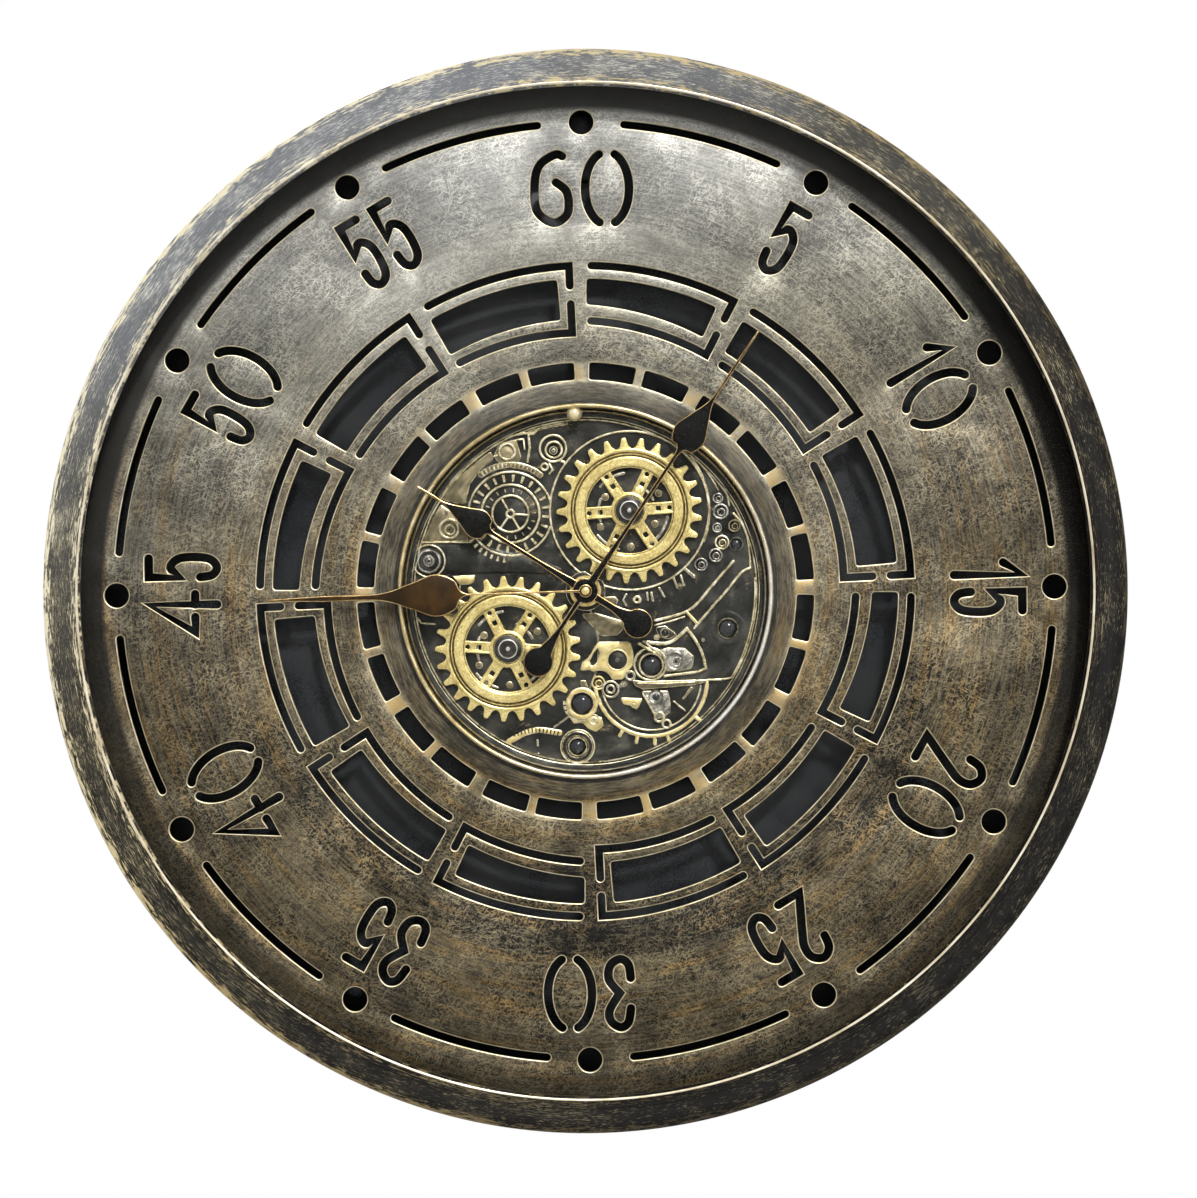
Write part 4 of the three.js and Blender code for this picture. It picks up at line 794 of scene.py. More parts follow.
def dialFinish(looks):
    # Pierced bronze plate, blackened, then scoured by hand: short strokes over dark metal, greyer and lighter at the
    # top as a painted reflection
    material, tree, shader = newMaterial("blackened bronze, hand scoured", {"Metallic": looks["metallic"],
                                                                            "Specular IOR Level": 0.1})
    at, radius, field = brushedField(tree, (0, 0), looks["streak"], looks["line"])
    dark, light = wearAlong(tree, at, *looks["patinaAlong"], looks["patina"], looks["scoured"])
    clouds = add(tree, "ShaderNodeTexNoise", {"Vector": at, "Scale": 1000 / looks["cloud"], "Detail": 6.0,
                                              "Roughness": 0.62})
    turnedMarks = add(tree, "ShaderNodeTexNoise", {"Vector": field, "Scale": 1.0, "Detail": 3.0})
    patches = add(tree, "ShaderNodeTexNoise", {"Vector": at, "Scale": 1000 / looks["patch"], "Detail": 4.0})
    height = add(tree, "ShaderNodeSeparateXYZ", {"Vector": at}).outputs["Z"]
    # Metal is rubbed brighter on the bridges between the bars and along the rings of slots
    bands = []
    for low, high, amount in (*looks["rubbedRings"], looks["windowRing"]):
        rise = add(tree, "ShaderNodeMapRange", {"Value": radius, "From Min": low - 0.002, "From Max": low + 0.001,
                                                "To Max": amount})
        fall = add(tree, "ShaderNodeMapRange", {"Value": radius, "From Min": high + 0.003, "From Max": high - 0.001})
        bands.append(add(tree, "ShaderNodeMath", {0: rise, 1: fall}, operation="MULTIPLY"))
    rich = bands[0]
    for band in bands[1:-1]:
        rich = add(tree, "ShaderNodeMath", {0: rich, 1: band}, operation="MAXIMUM")
    # The ring of windows is lighter at the top and blacker at the foot: painted light and shade
    tilt = add(tree, "ShaderNodeMapRange", {"Value": height, "From Min": -0.19, "From Max": 0.17, "To Min": -1.0})
    litWindowRing = add(tree, "ShaderNodeMath", {0: bands[-1], 1: tilt}, operation="MULTIPLY")
    uneven = add(tree, "ShaderNodeMapRange", {"Value": patches, "From Min": 0.34, "From Max": 0.64, "To Min": 0.25})
    # The ring inside the bars is smooth; under the frame's lip, most at the top, a painted shadow blackens the dial
    smoothRing = add(tree, "ShaderNodeMapRange", {"Value": radius, "From Min": 0.114, "From Max": 0.1175,
                                                  "To Min": 0.15})
    rim = add(tree, "ShaderNodeMapRange", {"Value": radius, "From Min": 0.2655, "From Max": 0.2690})
    rimShare = add(tree, "ShaderNodeMapRange", {"Value": height, "From Min": -0.24, "From Max": 0.0, "To Min": 0.3,
                                                "To Max": 0.8})
    paintedLipShadow = add(tree, "ShaderNodeMath", {0: rim, 1: rimShare}, operation="MULTIPLY")
    # Painted shade on the outer part of the dial, lower down
    outer = add(tree, "ShaderNodeMapRange", {"Value": radius, "From Min": 0.205, "From Max": 0.248})
    outerShadeShare = add(tree, "ShaderNodeMapRange", {"Value": height, "From Min": 0.25, "From Max": 0.14, "To Max": 0.22})
    outer = add(tree, "ShaderNodeMath", {0: outer, 1: outerShadeShare}, operation="MULTIPLY")
    shaded = add(tree, "ShaderNodeMath", {0: paintedLipShadow, 1: outer}, operation="MAXIMUM")
    unshaded = add(tree, "ShaderNodeMath", {0: 1.0, 1: paintedLipShadow}, operation="SUBTRACT")
    fine = dashes(tree, at, *looks["fineStrokes"])
    coarse = dashes(tree, at, *looks["longStrokes"])
    fine = add(tree, "ShaderNodeMath", {0: fine, 1: 0.8}, operation="MULTIPLY")
    strokes = add(tree, "ShaderNodeMath", {0: fine, 1: coarse}, operation="MAXIMUM")
    # Turned streaks and clouds under the strokes
    ground = add(tree, "ShaderNodeMix", {0: 0.5, 2: clouds, 3: turnedMarks}, data_type="FLOAT")
    veil = add(tree, "ShaderNodeMapRange", {"Value": ground, "From Min": 0.43, "From Max": 0.66, "To Max": 0.42})
    laid = add(tree, "ShaderNodeMath", {0: strokes, 1: uneven}, operation="MULTIPLY")
    laid = add(tree, "ShaderNodeMath", {0: laid, 1: smoothRing}, operation="MULTIPLY")
    flood = add(tree, "ShaderNodeMath", {0: rich, 1: uneven}, operation="MULTIPLY")
    amount = add(tree, "ShaderNodeMath", {0: laid, 1: 0.85, 2: veil}, operation="MULTIPLY_ADD")
    amount = add(tree, "ShaderNodeMath", {0: amount, 1: litWindowRing}, operation="ADD")
    amount = add(tree, "ShaderNodeMath", {0: amount, 1: flood}, operation="ADD", use_clamp=True)
    amount = add(tree, "ShaderNodeMath", {0: amount, 1: unshaded}, operation="MULTIPLY")
    # Lower down the rubbed metal is warmer in patches
    slow = add(tree, "ShaderNodeTexNoise", {"Vector": field, "Scale": 0.22, "Detail": 3.0, "Roughness": 0.6})
    warm = add(tree, "ShaderNodeMapRange", {"Value": slow, "From Min": 0.47, "From Max": 0.64, "To Max": 0.6})
    warmLow = add(tree, "ShaderNodeMapRange", {"Value": height, "From Min": 0.16, "From Max": 0.02})
    warm = add(tree, "ShaderNodeMath", {0: warm, 1: warmLow}, operation="MULTIPLY")
    light = add(tree, "ShaderNodeMix", {0: warm, 6: light, 7: looks["warmTone"]}, data_type="RGBA").outputs[2]
    colour = add(tree, "ShaderNodeMix", {0: amount, 6: dark, 7: light}, data_type="RGBA").outputs[2]
    # Painted lip shadow and outer shade darken the colour here
    colour = add(tree, "ShaderNodeMix", {0: shaded, 6: colour, 7: looks["blackTone"]}, data_type="RGBA").outputs[2]
    # Bridges between the bars are rubbed through to gold
    gold = add(tree, "ShaderNodeMapRange", {"Value": flood, "From Min": 0.5, "From Max": 1.0, "To Max": 0.75})
    colour = add(tree, "ShaderNodeMix", {0: gold, 6: colour, 7: looks["goldTone"]}, data_type="RGBA").outputs[2]
    tree.links.new(colour, shader.inputs["Base Color"])
    gloss = add(tree, "ShaderNodeMapRange", {"Value": amount, "To Min": 0.55, "To Max": 0.4})
    tree.links.new(gloss.outputs[0], shader.inputs["Roughness"])
    bump = add(tree, "ShaderNodeBump", {"Height": strokes, "Strength": 0.1, "Distance": 0.0002})
    tree.links.new(bump.outputs[0], shader.inputs["Normal"])
    return material


def buildDial(s):
    holes = [circle(s["opening"], 160)]
    for index, text in enumerate(s["numerals"]):
        holes += sectorOutlines(index, s)
        holes += numeralOutlines(text, index * 30, s["numeral"])
    dial = prism(circle(s["radius"], 288), holes, s["rear"], s["front"], s["edge"])
    piece = makePiece("pierced_dial", [dial], [dialFinish(dialLooks), cutEdge])
    fit(piece, "case", "dial_bronze", "dial_plate")


buildDial(dialSizes)
print("dial is pierced")

# What repeats round a centre is grown by one node tree: teeth, ticks, screws, ribs


def roundTree():
    tree = bpy.data.node_groups.new("repeat round a centre", "GeometryNodeTree")
    sockets = tree.interface
    sockets.new_socket("Part", in_out="INPUT", socket_type="NodeSocketGeometry")
    for name, kind in (("Count", "NodeSocketInt"), ("Radius", "NodeSocketFloat"), ("First Angle", "NodeSocketFloat"),
                       ("Step Angle", "NodeSocketFloat"), ("Centre", "NodeSocketVector"),
                       ("Upright", "NodeSocketFloat"), ("Material", "NodeSocketMaterial")):
        sockets.new_socket(name, in_out="INPUT", socket_type=kind)
    sockets.new_socket("Pieces", in_out="OUTPUT", socket_type="NodeSocketGeometry")
    given = tree.nodes.new("NodeGroupInput").outputs
    index = add(tree, "GeometryNodeInputIndex")
    travelled = add(tree, "ShaderNodeMath", {0: index, 1: given["Step Angle"], 2: given["First Angle"]},
                    operation="MULTIPLY_ADD")
    across = add(tree, "ShaderNodeMath", {0: travelled}, operation="SINE")
    upward = add(tree, "ShaderNodeMath", {0: travelled}, operation="COSINE")
    facing = add(tree, "ShaderNodeCombineXYZ", {"X": across, "Z": upward})
    reach = add(tree, "ShaderNodeVectorMath", {0: facing, "Scale": given["Radius"]}, operation="SCALE")
    at = add(tree, "ShaderNodeVectorMath", {0: reach, 1: given["Centre"]}, operation="ADD")
    dots = add(tree, "GeometryNodePoints", {"Count": given["Count"], "Position": at})
    # Upright parts keep their own direction, the others turn with the circle
    turning = add(tree, "ShaderNodeMath", {0: 1.0, 1: given["Upright"]}, operation="SUBTRACT")
    turn = add(tree, "ShaderNodeMath", {0: travelled, 1: turning}, operation="MULTIPLY")
    spin = add(tree, "ShaderNodeCombineXYZ", {"Y": turn})
    parts = add(tree, "GeometryNodeInstanceOnPoints", {"Points": dots, "Instance": given["Part"], "Rotation": spin})
    real = add(tree, "GeometryNodeRealizeInstances", {0: parts})
    coated = add(tree, "GeometryNodeSetMaterial", {"Geometry": real, "Material": given["Material"]})
    result = tree.nodes.new("NodeGroupOutput")
    tree.links.new(coated.outputs[0], result.inputs[0])
    return tree


repeatTree = roundTree()


def grown(part, slot, **values):
    # Runs the tree on one part and gives back a plain shell in millimetres
    seed = makePiece("seed", [part], [frameFinish])
    modifier = seed.modifiers.new("repeat", "NODES")
    modifier.node_group = repeatTree
    defaults = {"Count": 1, "Radius": 0.0, "First Angle": 0.0, "Step Angle": 0.0, "Centre": (0, 0, 0),
                "Upright": 0.0, "Material": frameFinish}
    for socket in repeatTree.interface.items_tree:
        if socket.in_out == "INPUT" and socket.name in defaults:
            modifier[socket.identifier] = values.get(socket.name.replace(" ", ""), defaults[socket.name])
    graph = bpy.context.evaluated_depsgraph_get()
    mesh = bpy.data.meshes.new_from_object(seed.evaluated_get(graph))
    points = [(v.co.x * 1000, v.co.z * 1000, -v.co.y * 1000) for v in mesh.vertices]
    faces = [tuple(f.vertices) for f in mesh.polygons]
    bpy.data.objects.remove(seed)
    bpy.data.meshes.remove(mesh)
    return points, faces, [slot] * len(faces)


def around(count, radius, firstAngle, x=0.0, y=0.0, stepAngle=None, upright=0.0):
    # Inputs of the tree, from millimetres and clock angles
    return {"Count": count, "Radius": radius * 0.001, "FirstAngle": math.radians(firstAngle),
            "StepAngle": math.radians(stepAngle if stepAngle is not None else 360 / count),
            "Centre": tuple(place(x, y, 0)), "Upright": upright}


# Finishes of the centre

# Cast zinc under antique bronze: nearly black hollows, rubbed tops
reliefFinish = agedMetal("cast zinc, antique bronze", {
    "metallic": 0.45, "tones": ("#141411", "#2c2c29", "#52514a"), "cloud": 14.0, "streak": 5.0, "line": 4.0,
    "fleck": 0.9, "wear": 0.6, "wornTone": "#77694b", "roughness": (0.28, 0.45), "markShare": 0.25,
    "relief": 0.3,
})
rubbedTops = agedMetal("bronze tops rubbed bare", {
    "metallic": 0.8, "tones": ("#655c45", "#b9ae8a", "#f2ead0"), "cloud": 4.5, "streak": 9.0, "line": 3.0,
    "fleck": 0.8, "wear": 0.6, "wornTone": "#fbf6e2", "roughness": (0.2, 0.36), "relief": 0.2,
})
silverTops = agedMetal("nickel rubbed through bronze", {
    "metallic": 0.8, "tones": ("#4b4841", "#8b877c", "#cdc9be"), "cloud": 5.0, "streak": 9.0, "line": 2.0,
    "fleck": 0.8, "wear": 0.58, "wornTone": "#f2efe6", "roughness": (0.2, 0.36), "relief": 0.3,
})
tanWash = agedMetal("tan wash on cast zinc", {
    "metallic": 0.5, "tones": ("#3d392e", "#716850", "#9c9070"), "cloud": 9.0, "streak": 6.0, "line": 3.0,
    "fleck": 0.8, "wear": 0.62, "wornTone": "#c0b48e", "roughness": (0.3, 0.45), "relief": 0.25,
})
# Brass wash over the cast bracket
rubbedBrass = agedMetal("brass wash on cast zinc", {
    "metallic": 0.75, "tones": ("#92804e", "#c8b57c", "#e8dba8"), "cloud": 7.0, "streak": 6.0, "line": 3.0,
    "fleck": 0.8, "wear": 0.62, "wornTone": "#f4ebc4", "roughness": (0.26, 0.4), "relief": 0.25,
})
# Glossy dark enamel beads
beadFinish = agedMetal("black enamel", {
    "metallic": 0.0, "tones": ("#0b0c0e", "#17191b", "#2b2d2f"), "cloud": 4.0, "streak": 6.0, "line": 2.0,
    "fleck": 0.7, "wear": 0.7, "wornTone": "#55524a", "roughness": (0.06, 0.14), "relief": 0.02, "sheen": 0.6,
})
# Die-cast brass, barrel polished: pale yellow, browner in the clouds
brassLooks = {
    "metallic": 0.85, "tones": ("#a08b52", "#cdba7b", "#e9db9b"), "cloud": 11.0, "streak": 14.0, "line": 0.9,
    "fleck": 1.1, "wear": 0.68, "wornTone": "#fffbd6", "roughness": (0.2, 0.32), "relief": 0.04,
}
# Darker brass for the grooves and ledges of the gears: tarnish and painted shade in the recesses
shadeLooks = {
    "metallic": 0.6, "tones": ("#241c0f", "#4d3f22", "#7b693c"), "cloud": 7.0, "streak": 9.0, "line": 1.0,
    "fleck": 1.0, "wear": 0.66, "wornTone": "#b59f66", "roughness": (0.3, 0.45), "relief": 0.1,
}
bezelFinish = agedMetal("rolled bronze ring", {
    "metallic": 0.8, "tones": ("#8a7a56", "#c0ad7e", "#e8dcb8"), "cloud": 20.0, "streak": 12.0, "line": 0.8,
    "fleck": 1.0, "wear": 0.62, "wornTone": "#f7f1dc", "roughness": (0.2, 0.34), "markShare": 0.6,
    # Pale silver painted highlight growing towards the lower right
    "washes": [((0.8, 0, -0.6), "#d9d7d2", 10, 110)], "relief": 0.1,
})
# Under the rolled ring lies a flange in the dial's patina; the stud is polished
flangeFinish = agedMetal("patinated bronze flange", {
    "metallic": 0.3, "tones": ("#1b1a17", "#302e29", "#524e44"), "cloud": 20.0, "streak": 18.0, "line": 0.8,
    "fleck": 1.0, "wear": 0.64, "wornTone": "#8a7d60", "roughness": (0.35, 0.5), "markShare": 0.6,
})
studFinish = agedMetal("pale polished brass", {
    "metallic": 0.7, "tones": ("#d3c08a", "#efe3b8", "#fbf6e0"), "cloud": 4.0, "streak": 3.0, "line": 0.6,
    "fleck": 0.6, "wear": 0.68, "wornTone": "#fffbe8", "roughness": (0.12, 0.22), "relief": 0.03,
})
# Stamped steel hands, brown-black lacquer with the copper edge showing
handFinish = agedMetal("black-brown lacquered steel", {
    "metallic": 0.1, "tones": ("#030302", "#070705", "#161209"), "cloud": 20.0, "streak": 2.0, "line": 6.0,
    "fleck": 0.9, "wear": 0.74, "wornTone": "#3a2f1c", "roughness": (0.16, 0.26), "relief": 0.03,
})
secondFinish = agedMetal("brown lacquered steel", {
    "metallic": 0.2, "tones": ("#191006", "#2f200c", "#513814"), "cloud": 22.0, "streak": 2.0, "line": 9.0,
    "fleck": 0.9, "wear": 0.72, "wornTone": "#73552b", "roughness": (0.18, 0.28), "relief": 0.03,
})
copperEdge = agedMetal("copper edge", {
    "metallic": 0.8, "tones": ("#86683c", "#bd9c66", "#e9d5a6"), "cloud": 8.0, "streak": 6.0, "line": 4.0,
    "fleck": 1.0, "wear": 0.64, "wornTone": "#f8e6c8", "roughness": (0.18, 0.3), "relief": 0.05,
})
turnedBrass = agedMetal("turned brass", {
    "metallic": 0.85, "tones": ("#b59a5c", "#dcc684", "#f3e6b4"), "cloud": 3.0, "streak": 3.0, "line": 0.3,
    "fleck": 0.5, "wear": 0.68, "wornTone": "#fdf4d2", "roughness": (0.16, 0.28), "relief": 0.04,
})
darkTurned = agedMetal("browned steel", {
    "metallic": 0.6, "tones": ("#1b1a18", "#35332f", "#57544d"), "cloud": 4.0, "streak": 3.0, "line": 0.3,
    "fleck": 0.6, "wear": 0.7, "wornTone": "#8a867c", "roughness": (0.24, 0.36), "relief": 0.05,
})
brightSteel = agedMetal("turned steel", {
    "metallic": 0.9, "tones": ("#8f8d86", "#bebcb4", "#e4e2da"), "cloud": 4.0, "streak": 3.0, "line": 0.25,
    "fleck": 0.6, "wear": 0.7, "wornTone": "#f6f4ee", "roughness": (0.16, 0.28), "relief": 0.04,
})

# Bezel: a rolled ring that laps over the dial, with a small ball stud near 12

bezelSizes = {
    "inner": 99.0, "foot": 38.6, "rear": 35.2, "seat": 41.3, "neck": 103.4, "outer": 106.4, "top": 45.6,
    "line": 102.8, "roll": 1.35, "slope": ((100.9, 41.2), (100.3, 40.7)),
    "ridge": ((100.2, 41.5), (99.9, 41.8), (99.6, 41.5), (99.4, 40.2)), "steps": 224,
    "studAt": (98.6, -3.1), "studRadius": 4.4,
}


def buildBezel(s):
    # Dark flange on the dial, a rolled gold line, a dark slope inwards and one fine ridge
    line, roll = s["line"], s["roll"]
    profile = [(s["inner"], s["rear"]), (s["neck"], s["rear"]), (s["neck"], s["seat"]), (s["outer"], s["seat"]),
               (s["outer"], s["seat"] + 0.2), (line + roll + 0.3, s["seat"] + 0.4),
               (line + roll, s["top"] - roll - 0.8)]
    rollStart = len(profile) - 1
    profile += arcProfile(line, s["top"] - roll, roll, 6, 174, 12)
    profile += [(line - roll, s["top"] - roll - 1.0), *s["slope"]]
    rollEnd, ridgeStart = len(profile) - 3, len(profile) - 1
    profile += [*s["ridge"], (s["inner"], s["foot"])]
    bright = {k: 1 for k in (*range(rollStart, rollEnd), *range(ridgeStart, ridgeStart + 4))}
    ring = lathe(profile, s["steps"], bands=bright)
    fit(makePiece("rolled_bezel", [ring], [flangeFinish, bezelFinish]), "case", "bezel_bronze", "bezel_ring")
    at = polar(*s["studAt"])
    ball = s["studRadius"]
    level = s["top"] - ball
    stud = lathe([(0, s["rear"]), (ball * 0.55, s["rear"]), (ball * 0.55, level - ball * 0.8)]
                 + arcProfile(0, level, ball, -56, 84, 14) + [(0, level + ball)], 40, at.x, at.y)
    fit(makePiece("ball_stud", [stud], [studFinish]), "case", "plain_brass", "bezel_stud")


buildBezel(bezelSizes)

# Display gears: 25 teeth, a raised band, six drilled spokes and a hub ring

gearSizes = {
    "teeth": 25, "tip": 40.6, "root": 34.8, "toothFoot": 0.29, "toothTip": 0.15, "rear": 32.0, "front": 34.6,
    "band": (24.7, 30.1), "bandTop": 36.2, "rimInner": 32.7, "rimTop": 34.9, "ridge": 31.4, "windowOuter": 24.8,
    "spokes": 6, "spokeWidth": 6.8, "squareHole": (16.2, 2.5), "roundHole": (22.4, 1.2), "hub": 10.5, "hubBore": 8.0,
    "bore": 2.8, "edge": 0.4, "steps": 128, "shaftRear": 21.3, "shaft": 2.5, "capRise": 0.3,
    "cap": ((7.9, 0.0), (7.9, 0.5), (7.6, 0.9), (5.6, 1.3), (5.4, 1.9), (4.8, 2.0), (4.5, 1.2), (2.2, 0.9),
            (1.7, 1.0), (1.6, 2.2), (1.1, 2.8), (0, 3.0)),
    "brightBands": (4, 6, 7, 11, 12, 13),
}
# Centre of each gear, and the clock angles of its first tooth and spoke
gearPlaces = {"upper": ((24.8, 44.6), 10.3, 26.3), "lower": ((-43.5, -31.8), 11.2, 33.5)}


def spokeWindow(middle, s):
    half = 180 / s["spokes"]

    def edgeAngle(radius):
        return half - math.degrees(math.asin(s["spokeWidth"] / 2 / radius))

    outer, inner = s["windowOuter"], s["hub"]
    outline = sweep(outer, outer, middle + edgeAngle(outer), middle - edgeAngle(outer), 12)
    outline += sweep(inner, inner, middle - edgeAngle(inner), middle + edgeAngle(inner), 3)
    return rounded(outline, 1.3)


def buildGear(name, s):
    (x, y), toothAngle, spokeAngle = gearPlaces[name]
    brass, shade = (agedMetal(f"{title}, {name} gear", {**looks, "centre": (x, y)})
                    for title, looks in (("polished cast brass", brassLooks), ("tarnished brass with painted shade", shadeLooks)))
    holes = [circle(s["bore"], 24)]
    for i in range(s["spokes"]):
        angle = spokeAngle + 360 / s["spokes"] * i
        holes.append(spokeWindow(angle + 180 / s["spokes"], s))
        at = polar(s["roundHole"][0], angle)
        holes.append(circle(s["roundHole"][1], 16, at.x, at.y))
        reach, side = s["squareHole"][0], s["squareHole"][1] / 2
        holes.append(rounded(turned([(-side, reach - side), (side, reach - side), (side, reach + side),
                                     (-side, reach + side)], angle), 0.4))
    ribEnd = s["band"][0] + 0.3
    wheel = prism(turned(circle(s["root"], s["steps"]), 0, x, y), [turned(h, 0, x, y) for h in holes],
                  s["rear"], s["front"], s["edge"], slots=(0, 0))
    pitch = 2 * math.pi / s["teeth"]
    foot, tip = pitch * s["root"] * s["toothFoot"], pitch * s["tip"] * s["toothTip"]
    side = [(foot + 1.2, s["root"] - 0.6), (foot + 1.1, s["root"] + 0.05), (foot + 0.35, s["root"] + 0.45),
            (foot * 0.9, s["root"] + 1.5), (tip, s["tip"] - 1.1), (tip * 0.62, s["tip"])]
    tooth = rounded([Vector((-x0, y0)) for x0, y0 in side] + [Vector(q) for q in side[::-1]], 0.6, 3)
    tooth = tooth if signedArea(tooth) > 0 else tooth[::-1]
    teeth = grown(prism(tooth, [], s["rear"] + 0.02, s["front"], 0.35, slots=(0, 0)), 0,
                  Material=brass, **around(s["teeth"], 0.0, toothAngle, x, y))
    low, high = s["band"]
    middle, half = (low + high) / 2, (high - low) / 2
    front, top = s["front"], s["bandTop"]
    crown = [(middle + half * a, front + (top - front) * b) for a, b in
             ((1, 0.1), (1, 0.72), (0.95, 0.92), (0.86, 1), (0.4, 0.97), (-0.4, 0.97), (-0.8, 1), (-0.94, 0.88),
              (-1, 0.6), (-1, 0.1))]
    band = lathe([(low, front - 0.5), (high, front - 0.5), *crown], s["steps"], x, y)
    # Groove and ledge take the darker brass: tarnish and painted shade
    groove = lathe([(high - 0.2, front - 0.3), (s["rimInner"] + 0.2, front - 0.3), (s["rimInner"] + 0.2, front + 0.06),
                    (s["ridge"] + 0.35, front + 0.1), (s["ridge"] + 0.2, front + 0.7), (s["ridge"] - 0.2, front + 0.7),
                    (s["ridge"] - 0.35, front + 0.1), (high - 0.2, front + 0.06)], s["steps"], x, y, slot=1,
                   bands={3: 0, 4: 0, 5: 0})
    ledge = lathe([(s["windowOuter"] - 0.9, front - 0.3), (low, front - 0.3), (low, front + 0.4),
                   (s["windowOuter"] - 0.3, front + 0.45), (s["windowOuter"] - 0.9, front + 0.2)], s["steps"], x, y,
                  slot=1, bands={3: 0})
    rim = lathe([(s["rimInner"], front - 0.4), (s["root"] - 0.1, front - 0.4), (s["root"] - 0.1, front + 0.1),
                 (s["root"] - 0.4, s["rimTop"]), (s["rimInner"] + 0.3, s["rimTop"]), (s["rimInner"], front + 0.1)],
                s["steps"], x, y)
    hubRing = lathe([(s["hubBore"], front - 0.4), (s["hub"] - 0.1, front - 0.4), (s["hub"] - 0.2, front + 0.5),
                     (s["hub"] - 0.7, front + 0.8), (s["hubBore"] + 0.5, front + 0.8), (s["hubBore"], front + 0.4)],
                    72, x, y)
    ribs = []
    for i in range(s["spokes"]):
        # A thin raised line down each side of a spoke
        angle = spokeAngle + 360 / s["spokes"] * i
        for side in (-1, 1):
            offset = side * (s["spokeWidth"] / 2 - 0.75)
            line = turned([(offset, s["hub"] - 0.3), (offset, ribEnd)], angle, x, y)
            ribs.append(prism(stroke(line, 0.8, 3), [], front - 0.2, front + 0.35, 0.2, slots=(0, 0)))
    shells = [wheel, teeth, band, groove, ledge, rim, hubRing, *ribs]
    fit(makePiece(f"{name}_brass_gear", shells, [brass, shade]), f"{name}_gear_set", "gear_brass",
        f"{name}_gear")
    rear, radius, cap = s["shaftRear"], s["shaft"], s["front"] + s["capRise"]
    shaft = lathe([(0, rear), (radius, rear), (radius, cap)] + [(r, cap + rise) for r, rise in s["cap"]], 56, x, y,
                  bands={k: 1 for k in s["brightBands"]})
    fit(makePiece(f"{name}_turned_shaft", [shaft], [darkTurned, brightSteel]), f"{name}_gear_set", "dark_steel",
        f"{name}_shaft")


for gearName in gearPlaces:
    buildGear(gearName, gearSizes)
print("gears are cut")

# Hands: leaf blades on long stems, with disc tails

handSizes = {
    "hour": {"hub": 6.4, "bore": 3.2, "stemRoot": 2.5, "stem": 1.2, "base": 60, "wide": 70.5, "leaf": 8.4,
             "neck": 91, "needle": 1.0, "tip": 109.5, "tailStem": 2.1, "tail": 34, "tailDisc": 8.2, "rear": 47.0,
             "angle": 302.4},
    "minute": {"hub": 7.1, "bore": 2.3, "stemRoot": 2.2, "stem": 1.05, "base": 90, "wide": 104, "leaf": 9.4,
               "neck": 127, "needle": 1.1, "tip": 172, "tailStem": 1.5, "tail": 47, "tailDisc": 8.2, "rear": 50.0,
               "angle": 34.2},
    "second": {"hub": 3.6, "bore": 1.3, "stemRoot": 0.7, "stem": 0.5, "base": 65, "wide": 83, "leaf": 11.6,
               "neck": 114, "needle": 1.9, "tip": 174.5, "tail": 0, "rear": 52.6, "angle": 268.8},
}
# All three are stamped from one sheet: half width of the point, thickness, front and rear edge
bladeSizes = {"point": 0.45, "thick": 1.2, "edge": 0.4, "rearEdge": 0.2}


def discEdge(centre, radius, above, below, steps=18):
    start = 90 - math.degrees(math.asin(above / radius))
    end = math.degrees(math.asin(below / radius)) - 90
    turns = [math.radians(mixed(start, end, i / steps)) for i in range(steps + 1)]
    return [Vector((radius * math.cos(t), centre + radius * math.sin(t))) for t in turns]


def handOutline(s):
    hubEdge = discEdge(0, s["hub"], s["stemRoot"], s["tailStem"] if s["tail"] else 0)
    blade = spline([(bladeSizes["point"], s["tip"]), (s["needle"] * 0.8, mixed(s["neck"], s["tip"], 0.5)),
                    (s["needle"], s["neck"]), (s["leaf"] * 0.62, mixed(s["wide"], s["neck"], 0.42)),
                    (s["leaf"], s["wide"]), (s["leaf"] * 0.72, mixed(s["wide"], s["base"], 0.58)),
                    (s["stem"], s["base"]), (s["stem"], s["base"] * 0.5), tuple(hubEdge[0])], 96)
    # The curve would swing past the thin stem below the leaf
    blade = [Vector((max(p.x, s["stem"]), p.y)) if p.y < s["wide"] else p for p in blade]
    right = blade + hubEdge[1:]
    if s["tail"]:
        flare = s["tailDisc"] * 0.5
        disc = discEdge(-s["tail"], s["tailDisc"], flare, 0)
        right += spline([tuple(hubEdge[-1]), (s["tailStem"], mixed(hubEdge[-1].y, disc[0].y, 0.6)),
                         tuple(disc[0])], 12)[1:-1] + disc
    left = [Vector((-p.x, p.y)) for p in right if p.x > 1e-4]
    return right + left[::-1]


def buildHand(name, s, finish, slot):
    outline = turned(handOutline(s), s["angle"])
    blade = prism(outline, [circle(s["bore"], 32)], s["rear"], s["rear"] + bladeSizes["thick"], bladeSizes["edge"],
                  rearEdge=bladeSizes["rearEdge"])
    fit(makePiece(f"{name}_leaf_hand", [blade], [finish, copperEdge]), f"{name}_works", slot, f"{name}_hand")


buildHand("hour", handSizes["hour"], handFinish, "hand_black")
buildHand("minute", handSizes["minute"], handFinish, "hand_black")
buildHand("second", handSizes["second"], secondFinish, "hand_brown")

# Nut, washer and the cap that closes the arbor

arborSizes = {"washer": (8.8, 33.3, 34.3), "nutAcross": 13.0, "nut": (34.6, 38.6), "bore": 4.3, "cap": (2.5, 54.0)}


